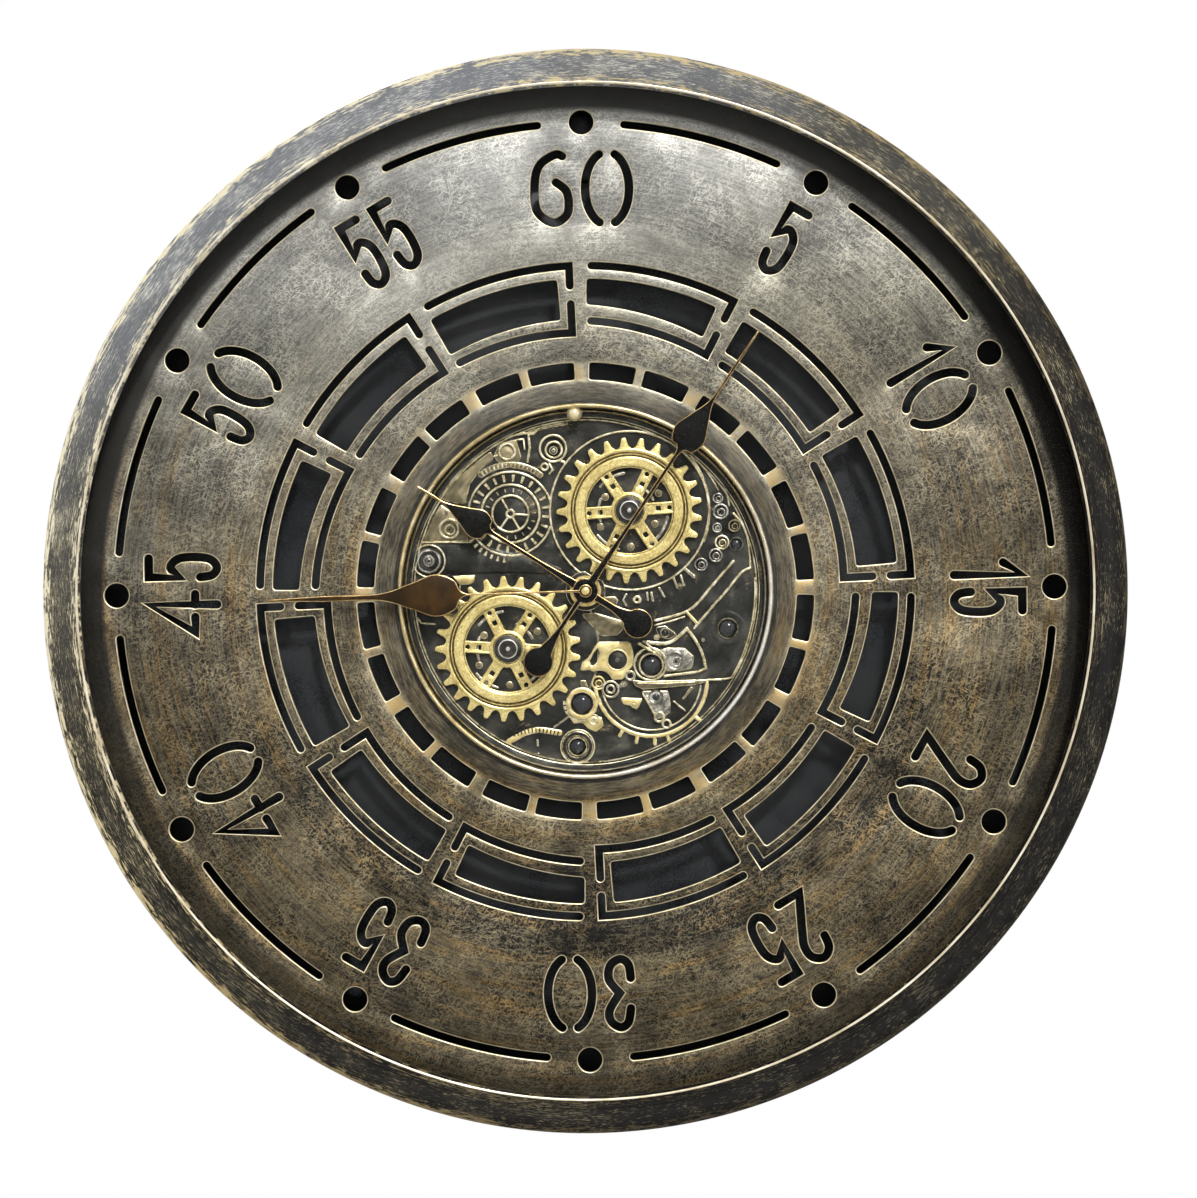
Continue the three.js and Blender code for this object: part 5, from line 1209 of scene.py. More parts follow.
def buildArbor(s):
    radius, rear, front = s["washer"]
    washer = lathe([(s["bore"], rear), (radius - 0.25, rear), (radius, rear + 0.25), (radius, front - 0.3),
                    (radius - 0.3, front), (s["bore"] + 0.2, front), (s["bore"], front - 0.2)], 72)
    fit(makePiece("brass_washer", [washer], [turnedBrass]), "case", "plain_brass", "nut_washer")
    rear, front = s["nut"]
    corner = s["nutAcross"] / 2 / math.cos(math.pi / 6)
    nut = prism(circle(corner, 6), [circle(s["bore"], 40)], rear, front, 0.5, rearEdge=0.3, slots=(0, 0))
    fit(makePiece("brass_nut", [nut], [turnedBrass]), "case", "plain_brass", "centre_nut")
    radius, rear = s["cap"]
    cap = lathe([(0, rear), (radius, rear)] + arcProfile(radius - 1.0, rear + 1.3, 1.0, 0, 80, 6)
                + [(0, rear + 2.6)], 48)
    fit(makePiece("spindle_cap", [cap], [turnedBrass]), "second_works", "plain_brass", "second_cap")


buildArbor(arborSizes)
print("hands are on")

# Relief plate: bridges, wheels and bosses stand on a round base

reliefSizes = {
    "base": (107.0, 28.3, 30.8), "rim": (96.4, 104.0, 34.9), "pocket": (43.6, 45.2, 33.0), "gearSweep": 41.8,
    "centreBoss": (11.0, 33.0), "rearBoss": (6.5, 23.6), "edge": 0.45, "foot": 0.4, "bore": 4.3, "shaftBore": 5.3,
}
upperAt, lowerAt = gearPlaces["upper"][0], gearPlaces["lower"][0]
ground = reliefSizes["base"][2]  # heights of the raised forms count from here
# Raised forms stop where a gear turns and inside the centre boss, clear of the hour pipe
keptClear = [circle(reliefSizes["pocket"][0], 96, *upperAt), circle(reliefSizes["gearSweep"], 96, *lowerAt),
             circle(reliefSizes["centreBoss"][0] - 0.4, 64)]
reliefFinishes = [reliefFinish, rubbedTops, rubbedBrass, silverTops, beadFinish, tanWash]
dark, rubbed, brass, silver, enamel, tan = range(6)
forms = []


def raised(outlines, height, slots=(dark, rubbed), edge=None):
    loops = region(outlines, keptClear)
    if loops:
        edge = edge or min(reliefSizes["edge"], height * 0.45)
        forms.append(plate(loops, ground - reliefSizes["foot"], ground + height, edge, slots=slots))


def slab(corners, height, slots=(dark, rubbed), corner=1.2):
    raised([rounded([Vector(p) for p in corners], corner)], height, slots)


def rib(points, width, height, slots=(rubbed, rubbed), smooth=0):
    edge = min(reliefSizes["edge"], height * 0.45, width * 0.3)
    raised([stroke(spline(points, smooth) if smooth else points, width)], height, slots, edge)


def boss(x, y, size, height, slots=(dark, rubbed)):
    # Stepped round boss: outer ring, hollow, inner ring and a point
    plain, bright = slots
    foot = ground - reliefSizes["foot"]
    shares = [(1, 0.0), (1, 0.72), (0.93, 1.0), (0.8, 1.0), (0.72, 0.5), (0.52, 0.45), (0.46, 0.85), (0.3, 0.9),
              (0.24, 0.55), (0.14, 0.6), (0.1, 1.05), (0, 1.1)]
    profile = [(0, foot), (size, foot)] + [(size * a, ground + height * b) for a, b in shares]
    forms.append(lathe(profile, 48 if size > 4 else 28, x, y, slot=plain,
                       bands={k: bright for k in (3, 4, 7, 8, 10, 11)}))


def ringed(x, y, inner, outer, height, slots=(rubbed, rubbed)):
    if inner <= 0:
        raised([circle(outer, 80, x, y)], height, slots)
        return
    loops = region([circle(outer, 80, x, y)], [*keptClear, circle(inner, 72, x, y)])
    edge = min(reliefSizes["edge"], height * 0.4, (outer - inner) * 0.25)
    forms.append(plate(loops, ground - 0.3, ground + height, edge, slots=slots))


def bead(x, y, size, ball, height, bright=rubbed):
    # A dark bead held in a bright ring
    foot = ground - reliefSizes["foot"]
    profile = [(ball, foot), (size, foot), (size, ground + height * 0.7), (size - 0.5, ground + height),
               (ball + 0.5, ground + height), (ball + 0.1, ground + height * 0.5)]
    forms.append(lathe(profile, 56, x, y, slot=bright))
    low, rise = ground + height * 0.3, ball * 0.55
    cap = [(ball * math.cos(math.radians(a)), low + rise * math.sin(math.radians(a))) for a in range(0, 85, 12)]
    forms.append(lathe([(0, foot), (ball + 0.15, foot), (ball + 0.15, low), *cap, (0, low + rise)], 48, x, y,
                       slot=enamel))


def swirl(x, y, size, height, bright=rubbed):
    # Two rings, the inner one off centre, round a point
    ringed(x, y, size * 0.76, size, height, (bright, bright))
    ringed(x + size * 0.08, y - size * 0.1, size * 0.34, size * 0.54, height * 0.9, (bright, bright))
    boss(x + size * 0.05, y - size * 0.06, size * 0.2, height * 1.1, (bright, bright))


def ticks(x, y, inner, outer, count, first, step, width, height, slot=rubbed):
    tick = prism([(-width * 0.36, inner), (width * 0.36, inner), (width / 2, outer), (-width / 2, outer)], [],
                 ground - 0.2, ground + height, min(0.15, width * 0.3), slots=(dark, dark), edgeSteps=1)
    forms.append(grown(tick, slot, Material=rubbedTops, **around(count, 0.0, first, x, y, step)))


def buildReliefBase(s):
    # Base, rim with two thin lines, pocket round the upper gear, centre boss
    radius, rear, top = s["base"]
    bossRadius, bossTop = s["centreBoss"]
    bore = circle(s["bore"], 40)
    bores = [bore, circle(s["shaftBore"], 32, *upperAt), circle(s["shaftBore"], 32, *lowerAt)]
    forms.append(prism(circle(radius, 192), bores, rear, top, slots=(dark, dark)))
    inner, outer, rimTop = s["rim"]
    sweepCut = [circle(s["gearSweep"], 120, *upperAt), circle(s["gearSweep"], 120, *lowerAt)]
    forms.append(plate(region([circle(outer, 224)], [circle(inner, 224), *sweepCut]), ground - 0.3, rimTop, 0.4))
    forms.append(lathe([(inner - 1.5, ground - 0.3), (inner - 0.5, ground - 0.3), (inner - 0.5, ground + 1.4),
                        (inner - 0.8, ground + 1.8), (inner - 1.2, ground + 1.8), (inner - 1.5, ground + 1.4)], 224,
                       slot=rubbed))
    forms.append(plate(region([circle(s["pocket"][1] - 0.4, 128, *upperAt)], [circle(s["pocket"][0], 128, *upperAt)]),
                       ground - 0.3, s["pocket"][2], 0.35, slots=(rubbed, rubbed)))
    forms.append(plate(region([circle(bossRadius, 64)], [*sweepCut, bore]), ground - 0.3, bossTop, 0.3))
    forms.append(prism(circle(s["rearBoss"][0], 48), [bore], s["rearBoss"][1], rear + 0.5, slots=(dark, dark)))
    # Low lines on the floor under both gears, seen between the spokes
    for gx, gy in (upperAt, lowerAt):
        for reach, start, end in ((21.6, 100, 148), (22.4, 196, 232), (17.2, 250, 292), (21.0, 310, 352),
                                  (14.6, 20, 66)):
            loops = region([stroke(sweepAt(gx, gy, reach, start, end, 14), 1.5)])
            forms.append(plate(loops, ground - 0.2, ground + 0.75, 0.25, slots=(silver, rubbed)))
        for turn, reach in ((60, 19.0), (118, 16.0), (178, 20.2), (241, 18.4), (300, 15.4)):
            loops = region([circle(2.1, 20, gx + polar(reach, turn).x, gy + polar(reach, turn).y)])
            forms.append(plate(loops, ground - 0.2, ground + 0.8, 0.3, slots=(tan, rubbed)))


def raiseSubDial(x, y):
    # Upper left: sub-dial with ticks, small wheel and toothed arc
    rib(sweepAt(x, y, 23.35, 109, 431, 90), 1.3, 1.8)
    ringed(x, y, 15.5, 16.9, 2.1)
    ringed(x, y, 0, 15.5, 0.6, (dark, dark))
    ticks(x, y, 17.9, 22.0, 24, -10, 15, 1.8, 1.5)
    ringed(x, y, 9.5, 10.8, 2.3)
    for turn in (-30, 95, 150, 215):
        rib([Vector((x, y)) + polar(3.2, turn), Vector((x, y)) + polar(9.9, turn)], 1.2, 2.0)
    ringed(x, y, 1.3, 2.8, 2.6)
    ticks(x, y, 12.1, 14.3, 18, 8, 20, 0.8, 1.3)
    raised([stroke(sweepAt(x, y, 27.3, -36, 38, 30), 3.6)], 1.1, (tan, rubbed))
    ticks(x, y, 26.0, 28.6, 15, -34, 5, 1.1, 1.9)
    ticks(x, y, 24.6, 27.4, 7, 188, 8, 1.8, 1.6)


def raiseUpperLeft():
    # Tan plates along the rim, ring bosses, hook and bracket
    slab([(-79.6, 51.3), (-73.6, 60.5), (-63.5, 70.2), (-52, 78.6), (-50.5, 74.0), (-57.5, 68.5), (-63.8, 60.0),
          (-66.4, 48.5)], 1.1, (tan, rubbed))
    rib([(-80.6, 51.4), (-74.6, 61.0), (-64.4, 71.2), (-52.6, 79.8), (-41.2, 86.6)], 1.1, 1.9, smooth=30)
    slab([(-90.2, 28.4), (-64.5, 28.4), (-67.5, 36), (-72, 43), (-80.2, 49.2), (-84.8, 42)], 1.1, (tan, rubbed))
    rib([(-91.0, 27.9), (-64.0, 27.9)], 1.0, 1.9)
    rib([(-91.0, 28.4), (-85.8, 42.6), (-81.2, 50.0)], 1.0, 1.9)
    swirl(-75.6, 35.4, 5.9, 2.8)
    boss(-77.2, 44.6, 1.2, 1.9)
    rib(sweep(93.8, 93.8, -20, -6, 12), 1.6, 1.3, (tan, rubbed))
    for turn in (-18, -15.2, -12.8, -9.6, -7.4):
        boss(*polar(93.8, turn), 1.0, 2.0, (rubbed, rubbed))
    rib([(-40.5, 87.0), (-33.5, 88.2), (-28.4, 87.8), (-25.6, 90.4)], 1.6, 1.9)
    rib([(-31.0, 87.0), (-30.3, 80), (-31.6, 72.4)], 1.5, 1.9)
    rib([(-37.4, 84.6), (-33.8, 84.8), (-33.2, 79.4)], 1.0, 1.5)
    slab([(-47.4, 83.0), (-37.6, 85.0), (-35.0, 74.4), (-38.0, 71.4), (-48.0, 72.0), (-50.6, 75.6)], 0.9, (tan, rubbed))
    ringed(-43.0, 78.0, 3.7, 5.0, 2.5)
    rib([(-51.6, 75.2), (-48.6, 76.0)], 1.1, 2.0)
    ringed(-17.4, 79.6, 6.7, 8.0, 2.8)
    ringed(-17.0, 78.8, 3.9, 5.1, 2.7)
    boss(-17.2, 78.4, 2.4, 2.9)
    ringed(-22.2, 69.4, 1.2, 2.4, 2.2)
    rib([(-19.6, 71.2), (-17.6, 67.8), (-19.6, 65.4)], 1.2, 2.0)
    rib([(-13.6, 72.8), (-11.2, 71.8)], 1.6, 2.0)
    # The smooth dark bar with a ringed disc at its end
    raised([rounded([Vector(p) for p in ((-86, 27.0), (-62, 26.6), (-30, 19.6), (-13, 12.8), (-14, 9.6), (-40, 10.6),
                                         (-86, 10.4))], 4, 6)], 1.5, (dark, dark), 0.7)
    ringed(-87.1, 17.5, 8.5, 9.4, 2.4)
    boss(-87.1, 17.5, 7.0, 2.3, (dark, silver))
    slab([(-74.5, 9.2), (-61.5, 9.6), (-62.0, 4.6), (-70, 3.8)], 1.4, (brass, rubbed), 0.6)


def raiseRightSide():
    # Cluster of bosses, rack of teeth, channels and the edge plate
    rib([(59.5, 74.3), (64.5, 66), (68.0, 56), (69.4, 46), (68.8, 36), (66.2, 27)], 1.2, 1.8, smooth=30)
    rib([(62.5, 72.5), (69.5, 64), (74.5, 55.5)], 0.9, 1.5, smooth=16)
    rib([(66, 76), (73, 66.5), (78.3, 56.5), (80.5, 47.0)], 1.0, 1.5, smooth=20)
    rib([(82.8, 42.4), (87.5, 36.8), (90.4, 29), (91.6, 19), (91.8, 12.2)], 1.3, 1.7, smooth=24)
    for bx, by, size, bright in ((74.2, 51.0, 2.9, silver), (75.6, 43.6, 4.4, silver), (73.6, 34.6, 2.7, silver),
                                 (83.2, 35.6, 3.5, tan), (76.2, 26.4, 4.1, rubbed), (72.6, 19.2, 3.9, silver),
                                 (64.4, 14.2, 3.7, silver)):
        swirl(bx, by, size, 2.4, bright)
    bead(84.2, 25.4, 4.1, 3.0, 2.2, silver)
    rib([(55.6, 11.8), (60.4, 7.4)], 2.0, 1.8, (silver, rubbed))
    for line in ([(49.2, 6.6), (51.0, 1.6)], [(53.2, 8.0), (54.8, 2.8)], [(41.0, 1.2), (43.8, -3.6)],
                 [(34.2, -1.4), (34.6, -5.4)], [(36.6, -1.4), (37.4, -5.6)],
                 [(22.6, -2.2), (20.8, -5.0), (22.4, -8.2)]):
        rib(line, 1.4, 1.9, (silver, rubbed))
    boss(52.3, 2.0, 1.7, 2.1)
    ringed(28.6, -5.2, 0.9, 2.5, 1.9)
    slab([(9.8, -3.2), (16.2, -3.0), (18.2, -5.0), (17.0, -8.2), (11.4, -5.6)], 1.3, (tan, rubbed), 0.8)
    rib([(82.4, 15.8), (69.8, 1.5), (62.0, -7.6), (55.4, -12.2), (47, -14.8), (38.6, -16.8)], 1.6, 2.0, smooth=30)
    rib([(54.8, -14.8), (46.6, -17.4), (38.2, -19.4)], 1.0, 1.5)
    rib([(91.8, 12.0), (86.8, 9.4), (79, 0), (70, -10), (60.4, -21.2)], 1.5, 2.0, smooth=30)
    rib([(56.2, -12.2), (61.8, -18.6)], 1.9, 2.3, (brass, rubbed))
    edge = [(94.4, 6), (94.4, -4), (93, -16), (90.4, -27), (86.6, -38), (82.4, -46.2), (79.2, -49.4), (67, -50.2)]
    rib(edge, 1.3, 2.0, smooth=50)
    raised([[*map(Vector, spline(edge, 24)), Vector((68.6, -44)), Vector((63.0, -24.0)), Vector((77.0, -4.5))]],
           0.6, (dark, dark), 0.2)
    raised([circle(9.6, 48, 79.0, -22.0)], 0.5, (tan, dark))
    ringed(79.0, -21.6, 6.3, 9.9, 0.7, (dark, dark))
    bead(79.0, -21.6, 6.0, 5.1, 2.3)
    boss(65.0, -27.8, 1.1, 1.6)


def raiseBridges():
    # Below: brass bridge, bead, spiral, sector frame, lever and arm in silver
    sector = [(56.2, -21.4), (61.2, -28.4), (64.8, -36), (66.6, -43.6)]
    rib(sector, 1.8, 2.4, smooth=20)
    rib([(66.6, -43.6), (62.6, -45.6), (52, -46.8), (43.6, -47.8)], 1.6, 2.3)
    rib([(56.2, -21.4), (50.4, -26.8), (44, -29.6), (33.4, -28.8)], 2.0, 2.3, smooth=20)
    slab([(38.5, -20.4), (44.2, -19.6), (49, -23.0), (50.6, -25.0), (46.2, -27.4), (40.4, -26.0)], 1.1, corner=1.6)
    bead(44.0, -23.6, 2.7, 1.9, 1.8)
    boss(39.3, -26.2, 1.6, 2.3, (rubbed, rubbed))
    slab([(39, -33.4), (46, -31.8), (55, -32.2), (60.2, -37), (59.0, -43.8), (52, -45.2), (43.8, -45.2)], 1.2,
         (silver, rubbed), 2.0)
    swirl(49.6, -39.4, 5.4, 2.9, silver)
    rib([(29.6, -29.6), (38.4, -35.2)], 1.6, 2.6)
    rib([(32.0, -28.4), (41.6, -36.2)], 1.2, 2.3, (silver, rubbed))
    ringed(35.6, -41.0, 8.3, 9.5, 2.2)
    bead(36.2, -41.6, 7.4, 5.6, 2.9)
    for line in ([(28.4, -36.4), (31.0, -33.6)], [(27.4, -39.0), (28.6, -35.0)]):
        rib(line, 1.1, 2.0)
    bridge = [(6.4, -28.2), (24.6, -28.2), (26.4, -33.6), (26.2, -41.6), (22.6, -45.8), (20.4, -49.6), (13.6, -49.6),
              (1.6, -44.2), (-3.4, -44.6), (-3.8, -40.4), (1.4, -36.6), (4.2, -31.8)]
    lens = rounded([Vector(q) for q in ((6.6, -31.6), (7.5, -35.0), (5.6, -40.0), (2.9, -42.0), (2.1, -39.0),
                                        (4.2, -34.8))], 1.0)
    loops = region([rounded([Vector(q) for q in bridge], 1.6)], [*keptClear, circle(5.3, 44, 17.4, -38.6), lens,
                                                                circle(7.0, 44, 7.4, -51.4)])
    forms.append(plate(loops, ground - reliefSizes["foot"], ground + 2.6, 0.5, slots=(brass, rubbed)))
    ringed(17.4, -38.6, 5.2, 6.2, 3.1, (brass, rubbed))
    ringed(17.4, -38.6, 0, 4.7, 1.6, (dark, dark))
    boss(17.4, -38.6, 1.1, 2.0, (dark, silver))
    swirl(6.6, -51.2, 3.9, 2.4, brass)
    ringed(13.4, -54.8, 3.8, 5.0, 2.9, (silver, rubbed))
    ringed(13.4, -54.8, 1.5, 2.7, 2.9, (silver, rubbed))
    rib([(17.8, -53.4), (21.0, -52.2)], 2.4, 2.2, (silver, silver))
    boss(21.0, -51.9, 1.9, 2.7, (silver, rubbed))
    ringed(24.4, -47.4, 1.6, 3.0, 2.8, (silver, rubbed))
    slab([(25.0, -49.4), (31, -50.4), (66.4, -49.8), (67.6, -51.4), (60.4, -52.8), (46, -54.2), (31.4, -55.2),
          (27.2, -53.2)], 2.3, (tan, rubbed), 0.8)
    rib([(28.4, -51.6), (44.0, -51.9), (60.0, -51.2)], 0.9, 2.8)
    slab([(30.2, -55.8), (45.4, -55.8), (46.8, -62), (46.6, -68), (43.4, -70.6), (38.2, -72.2), (35.6, -66)], 2.1,
         (silver, rubbed), 1.2)
    bead(38.6, -59.4, 4.2, 3.0, 3.0, silver)
    bead(44.6, -66.0, 2.2, 1.4, 3.0, silver)
    ringed(40.4, -70.6, 1.8, 3.3, 3.2)
    ringed(44.4, -74.4, 1.6, 2.8, 3.0)
    rib([(31.4, -57.6), (37.6, -68.6)], 1.0, 2.9)


def raiseArcWheel():
    # Arc wheel with five teeth, its marks and the brass piece inside it
    wheelAt = Vector((36, -50))
    rib(sweepAt(*wheelAt, 31.2, 93, 262, 60), 2.3, 2.1, (brass, rubbed))
    rib(sweepAt(*wheelAt, 27.8, 97, 255, 50), 1.0, 1.6)
    for turn in (210, 194, 177, 164, 130):
        rib([wheelAt + polar(32.4, turn), wheelAt + polar(35.4, turn)], 2.3, 2.0, (brass, rubbed))
    rib([(48.6, -62), (54.8, -67.2)], 1.1, 1.5, (silver, rubbed))
    rib([(54.0, -60.4), (58.4, -54.6)], 1.6, 1.1, (tan, rubbed))
    slab([(18.6, -59.4), (31.2, -60.0), (30.2, -63.0), (27.8, -66.8), (24.4, -64.2), (20.2, -63.4)], 1.6,
         (brass, rubbed), 0.9)
    boss(26.4, -63.6, 1.8, 2.2, (brass, rubbed))


def raiseLowerLeft():
    # Big bead on a scalloped brass skirt, stem, ring boss and toothed strip
    slab([(-11.5, -67.0), (-5.5, -70.6), (2.5, -69.0), (8.5, -70.4), (9.4, -75.0), (5.4, -78.6), (0.6, -76.8),
          (-2.4, -73.6), (-7.4, -73.8)], 1.7, (brass, rubbed), 1.4)
    ringed(-2.6, -62.6, 6.2, 9.0, 2.7, (brass, rubbed))
    bead(-2.6, -62.6, 6.9, 5.8, 3.0)
    ticks(-2.6, -62.6, 8.6, 10.6, 7, 176, 16, 2.4, 1.9)
    swirl(4.0, -71.6, 3.0, 2.7)
    slab([(-3.8, -49.6), (-0.4, -49.6), (1.8, -56.2), (-2.2, -55.6)], 1.0, (tan, rubbed), 0.8)
    ringed(-5.3, -86.6, 8.9, 9.8, 1.7)
    ringed(-5.3, -86.6, 6.0, 8.6, 1.0, (dark, rubbed))
    bead(-5.3, -86.6, 5.8, 4.3, 2.6)
    rib([(-43.4, -83.4), (-35, -79.1), (-27, -77.2), (-15.2, -78.9)], 3.4, 1.1, (brass, rubbed), smooth=24)
    ticks(-28.0, -112.0, 33.4, 36.0, 13, -21, 3.4, 0.8, 1.5, slot=dark)
    rib([(-27.6, -82.8), (-27.4, -85.8)], 1.1, 1.5, (silver, rubbed))
    rib([(-27.2, -90.2), (-27.0, -92.2)], 1.2, 1.5, (silver, rubbed))
    raised([stroke(sweepAt(*lowerAt, 50.5, -20, 150, 60), 1.0)], 0.8)
    # A tongue under the hands and arcs at the left
    slab([(-3.4, -12.6), (5.6, -12.2), (20.2, -16.6), (21.2, -21.0), (17.6, -24.8), (8.4, -25.4), (4.2, -20.4)], 1.2,
         (tan, rubbed), 1.6)
    rib(sweepAt(-92, 4, 22.0, 92, 118, 12), 0.9, 1.3)
    rib([(-95.0, -13.0), (-91.5, -17.0), (-84.0, -17.6)], 1.0, 1.3)


buildReliefBase(reliefSizes)
raiseSubDial(-41.5, 43.4)
raiseUpperLeft()
raiseRightSide()
raiseBridges()
raiseArcWheel()
raiseLowerLeft()
fit(makePiece("relief_bridges", forms, reliefFinishes), "case", "relief_bronze", "relief_plate")
print("relief is raised")

# Finishes of the works and the back


def moulded(name, code, roughness, grain, depth=0.3, metallic=0.0, veil=0.12):
    # Injection-moulded or pressed skin: a fine grain and slow changes of tone
    material, tree, shader = newMaterial(name, {"Metallic": metallic, "Specular IOR Level": 0.2})
    at = add(tree, "ShaderNodeTexCoord").outputs["Object"]
    slow = add(tree, "ShaderNodeTexNoise", {"Vector": at, "Scale": 1000 / 40.0, "Detail": 3.0})
    fine = add(tree, "ShaderNodeTexNoise", {"Vector": at, "Scale": 1000 / grain, "Detail": 2.0})
    both = add(tree, "ShaderNodeMix", {0: 0.35, 2: slow, 3: fine}, data_type="FLOAT")
    share = add(tree, "ShaderNodeMapRange", {"Value": both, "From Min": 0.3, "From Max": 0.7, "To Max": veil})
    colour = add(tree, "ShaderNodeMix", {0: share, 6: code, 7: "#8f8f8c"}, data_type="RGBA")
    tree.links.new(colour.outputs[2], shader.inputs["Base Color"])
    gloss = add(tree, "ShaderNodeMapRange", {"Value": both, "From Min": 0.3, "From Max": 0.7,
                                             "To Min": roughness - 0.07, "To Max": roughness + 0.07})
    tree.links.new(gloss.outputs[0], shader.inputs["Roughness"])
    bump = add(tree, "ShaderNodeBump", {"Height": fine, "Strength": depth, "Distance": 0.00015})
    tree.links.new(bump.outputs[0], shader.inputs["Normal"])
    return material


panFinish = moulded("ABS, black, fine spark texture", "#0b0f14", 0.3, 0.9, 0.12, veil=0.1)
movementFinish = moulded("ABS, black, matt", "#101113", 0.5, 0.6)
housingFinish = moulded("ABS, dark grey", "#1b1c1e", 0.5, 0.8)
knobFinish = moulded("POM, grey", "#5d6064", 0.42, 0.7)
wheelFinish = moulded("POM, natural white", "#dcd9cf", 0.4, 0.7)
zincFinish = moulded("zinc-plated steel", "#8d9095", 0.3, 1.6, 0.12, metallic=0.95, veil=0.5)
motorFinish = moulded("pressed motor can", "#6f7174", 0.34, 1.2, 0.12, metallic=0.8, veil=0.4)
redCover = moulded("PVC, red", "#96201c", 0.45, 1.0, veil=0.06)
blackCover = moulded("PVC, black", "#131313", 0.45, 1.0, veil=0.06)


def cellWrap():
    # Shrink film on a dry cell: plain green with a bare bronze-coloured shoulder
    material, tree, shader = newMaterial("PVC film on a dry cell", {"Metallic": 0.3, "Roughness": 0.32})
    at = add(tree, "ShaderNodeTexCoord").outputs["Object"]
    parts = add(tree, "ShaderNodeSeparateXYZ", {"Vector": at})
    shoulder = add(tree, "ShaderNodeMapRange", {"Value": parts.outputs["X"], "From Min": 0.0125, "From Max": 0.0128})
    slow = add(tree, "ShaderNodeTexNoise", {"Vector": at, "Scale": 1000 / 12.0, "Detail": 2.0})
    film = add(tree, "ShaderNodeMix", {0: slow, 6: "#1f4634", 7: "#2f5f49"}, data_type="RGBA")
    colour = add(tree, "ShaderNodeMix", {0: shoulder, 6: film.outputs[2], 7: "#a08451"},
                 data_type="RGBA")
    tree.links.new(colour.outputs[2], shader.inputs["Base Color"])
    bump = add(tree, "ShaderNodeBump", {"Height": slow, "Strength": 0.1, "Distance": 0.0002})
    tree.links.new(bump.outputs[0], shader.inputs["Normal"])
    return material


keptFinishes = {
    housingFinish: ["module_housing"], motorFinish: ["gear_motor"],
    turnedBrass: ["upper_bush", "lower_bush", "minute_pipe"],
    wheelFinish: ["upper_wheel", "lower_wheel", "motor_pinion", "hour_pipe"],
    brightSteel: ["motor_shaft", "second_spindle"], zincFinish: ["motor_screw_1", "motor_screw_2"],
    movementFinish: ["movement_case", "battery_box"],
    cellWrap(): ["motor_cell_1", "motor_cell_2", "clock_cell"], redCover: ["wire_red"], blackCover: ["wire_black"],
}
for finish, names in keptFinishes.items():
    for name in names:
        for holder in nodes[name].material_slots:
            holder.material = finish

# Back pan: a moulded tray with rounded cut-outs and a closed pocket behind the keyhole

panSizes = {
    "radius": 295.9, "rear": 8.0, "front": 11.0, "rim": (280.5, 283.5, 38.2), "movement": 57.2,
    "box": (59.0, 34.0, 0.0, -63.5), "switch": (19.0, 9.4, 0.0, -43.0), "pocket": (16.0, 31.0, 249.0, 15.0, 18.0),
    "pocketWall": 3.0, "screwHole": 1.7, "edge": 0.5, "frontEdge": 0.3, "steps": 256,
}
screwPlaces = {"frame": (4, 292.0, 45.0), "module": (3, 100.0, 30.0), "hanger": ((0, 272.0), (0, 218.0))}


def boxOutline(width, height, x, y, corner=0.0):
    outline = [Vector((x + sx * width / 2, y + sy * height / 2)) for sx, sy in ((-1, -1), (1, -1), (1, 1), (-1, 1))]
    return rounded(outline, corner, 6) if corner else outline


def buildPan(s):
    wide, high, middle, roofRear, roofFront = s["pocket"]
    wall = s["pocketWall"]
    cuts = [boxOutline(s["movement"], s["movement"], 0, 0, 3.0), boxOutline(*s["box"], 0.6),
            boxOutline(*s["switch"], 0.6), boxOutline(wide, high, 0, middle, 1.5)]
    for name in ("frame", "module"):
        count, reach, first = screwPlaces[name]
        for i in range(count):
            at = polar(reach, first + 360 / count * i)
            cuts.append(circle(s["screwHole"], 20, at.x, at.y))
    cuts += [circle(s["screwHole"], 20, *at) for at in screwPlaces["hanger"]]
    tray = plate(region([circle(s["radius"], s["steps"])], cuts), s["rear"], s["front"], s["frontEdge"],
                 rearEdge=s["edge"], slots=(0, 0))
    inner, outer, top = s["rim"]
    rim = lathe([(inner, s["front"] - 0.4), (outer, s["front"] - 0.4), (outer, top), (inner, top)], s["steps"])
    pocketOutline = boxOutline(wide + 2 * wall, high + 2 * wall, 0, middle, 2.5)
    walls = prism(pocketOutline, [boxOutline(wide, high, 0, middle, 1.5)], s["front"] - 0.4, roofRear, slots=(0, 0))
    roof = prism(pocketOutline, [], roofRear, roofFront, 0.6, slots=(0, 0))
    fit(makePiece("moulded_back_pan", [tray, rim, walls, roof], [panFinish]), "case", "black_plastic", "back_pan")


buildPan(panSizes)

# Screws with cross recesses, all driven from behind; each set has a seat and a length

screwSizes = {"head": 3.2, "headHigh": 2.0, "shank": 1.4, "recess": 1.25, "arm": (0.42, 1.75), "round": 0.35,
              "frame": (8.0, 14.0), "module": (8.0, 10.0), "hanger": (6.5, 6.0)}


def screwShell(seat, length, s):
    under = seat - 0.2
    back = under - s["headHigh"]
    half, reach = s["arm"]
    cross = region([boxOutline(half * 2, reach * 2, 0, 0), boxOutline(reach * 2, half * 2, 0, 0)])
    cap = prism(circle(s["head"], 40), cross, back, back + s["recess"], rearEdge=s["round"], slots=(0, 0))
    body = lathe([(0, back + s["recess"] - 0.02), (s["head"], back + s["recess"] - 0.02), (s["head"], under),
                  (s["shank"], under), (s["shank"], seat + length - 0.8), (0.3, seat + length), (0, seat + length)], 32)
    points = cap[0] + body[0]
    return points, cap[1] + [tuple(i + len(cap[0]) for i in f) for f in body[1]], cap[2] + body[2]


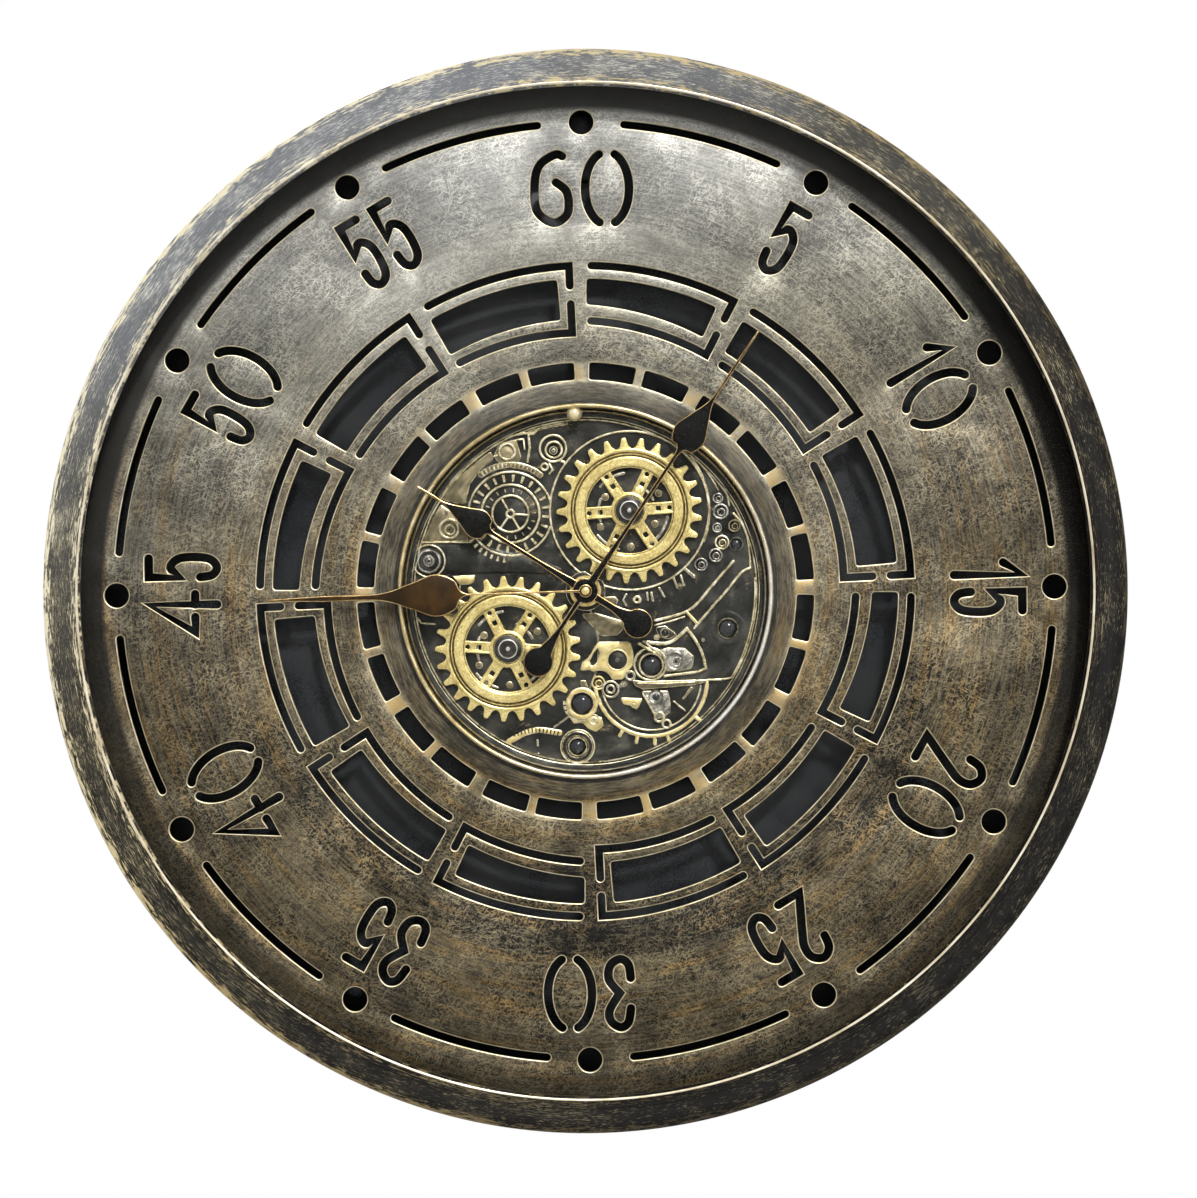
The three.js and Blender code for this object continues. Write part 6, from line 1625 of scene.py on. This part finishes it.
def buildScrews(s):
    frameSet = grown(screwShell(*s["frame"], s), 0, Material=zincFinish, **around(*screwPlaces["frame"], upright=1.0))
    fit(makePiece("frame_screws", [frameSet], [zincFinish]), "case", "steel",
        *[f"frame_screw_{i}" for i in (1, 2, 3, 4)])
    moduleSet = grown(screwShell(*s["module"], s), 0, Material=zincFinish,
                      **around(*screwPlaces["module"], upright=1.0))
    fit(makePiece("module_screws", [moduleSet], [zincFinish]), "case", "steel",
        *[f"module_screw_{i}" for i in (1, 2, 3)])
    upper, lower = (at[1] for at in screwPlaces["hanger"])
    hangerSet = grown(screwShell(*s["hanger"], s), 0, Material=zincFinish,
                      **around(2, (upper - lower) / 2, 0, 0, (upper + lower) / 2, upright=1.0))
    fit(makePiece("hanger_screws", [hangerSet], [zincFinish]), "case", "steel", "hanger_screw_1", "hanger_screw_2")


buildScrews(screwSizes)

# Hanger plate with its keyhole, battery lid, switch and setting knob

backSizes = {  # boxes: width, height, place of the middle, rear and front
    "hanger": (30.0, 64.0, 245.0, 6.5, 7.7), "hangerCorner": 6.0, "keyhole": (5.5, 241.0, 255.0, 5.2),
    "lid": (56.0, 32.0, -63.5, 2.5, 3.9), "grip": (8.0, -74.0, 0.9), "gripRibs": (-2.4, -0.8, 0.8, 2.4),
    "knob": (5.5, 10.0, 1.3, 4.7, 30), "knobShaft": (2.0, 10.4), "cover": (53.6, 32.8, 10.4, 5.0, 6.5),
    "coverHole": 2.3, "slider": (4.2, 3.6, -2.0, -42.9, 4.2, 7.6), "sliderTab": 2.0,
}


def buildBack(s):
    wide, high, middle, rear, front = s["hanger"]
    radius, entry, end, slot = s["keyhole"]
    keyhole = region([circle(radius, 48, 0, entry), stroke([(0, entry), (0, end)], slot, 9)])
    holes = [circle(panSizes["screwHole"], 20, *at) for at in screwPlaces["hanger"]]
    hanger = prism(boxOutline(wide, high, 0, middle, s["hangerCorner"]), [*keyhole, *holes], rear, front, 0.25,
                   rearEdge=0.25, slots=(0, 0))
    fit(makePiece("keyhole_plate", [hanger], [zincFinish]), "case", "steel", "hanger_plate")

    wide, high, middle, rear, front = s["lid"]
    shells = [prism(boxOutline(wide, high, 0, middle, 1.5), [], rear, front, 0.2, rearEdge=0.4, slots=(0, 0))]
    half, middle, thick = s["grip"]
    for offset in s["gripRibs"]:
        shells.append(prism(stroke([(-half, middle + offset), (half, middle + offset)], thick, 4), [], rear - 0.5,
                            rear + 0.3, rearEdge=0.25, slots=(0, 0)))
    fit(makePiece("battery_lid_cover", shells, [movementFinish]), "lid", "black_plastic", "battery_lid")

    radius, y, rear, front, ribs = s["knob"]
    core = lathe([(0, rear), (radius - 1.1, rear), (radius - 0.7, rear + 0.4), (radius - 0.5, front - 0.3),
                  (radius - 0.8, front), (0, front)], 60, 0, y)
    rib = prism([(-0.26, radius - 0.8), (0.26, radius - 0.8), (0.16, radius), (-0.16, radius)], [], rear + 0.35,
                front - 0.3, slots=(0, 0))
    grip = grown(rib, 0, Material=knobFinish, **around(ribs, 0.0, 0.0, 0, y))
    shaftRadius, end = s["knobShaft"]
    shaft = lathe([(0, rear + 1), (shaftRadius, rear + 1), (shaftRadius, end), (0, end)], 32, 0, y)
    fit(makePiece("ribbed_knob", [core, grip, shaft], [knobFinish]), "knob", "grey_plastic", "setting_knob")

    wide, high, middle, rear, front = s["cover"]
    cover = prism(boxOutline(wide, high, 0, middle, 1.2), [circle(s["coverHole"], 32, 0, y)], rear, front, 0.2,
                  rearEdge=0.3, slots=(0, 0))
    fit(makePiece("movement_back_cover", [cover], [movementFinish]), "case", "black_plastic", "movement_cover")

    wide, high, x, y, rear, front = s["slider"]
    slider = [prism(boxOutline(wide, high, x, y, 0.3), [], rear, front, 0.2, slots=(0, 0)),
              prism(boxOutline(s["sliderTab"], high, x, y, 0.3), [], rear - 1.2, rear + 0.2, rearEdge=0.3,
                    slots=(0, 0))]
    fit(makePiece("slide_switch", slider, [wheelFinish]), "switch", "white_plastic", "switch_slider")


buildBack(backSizes)
print("back is closed")
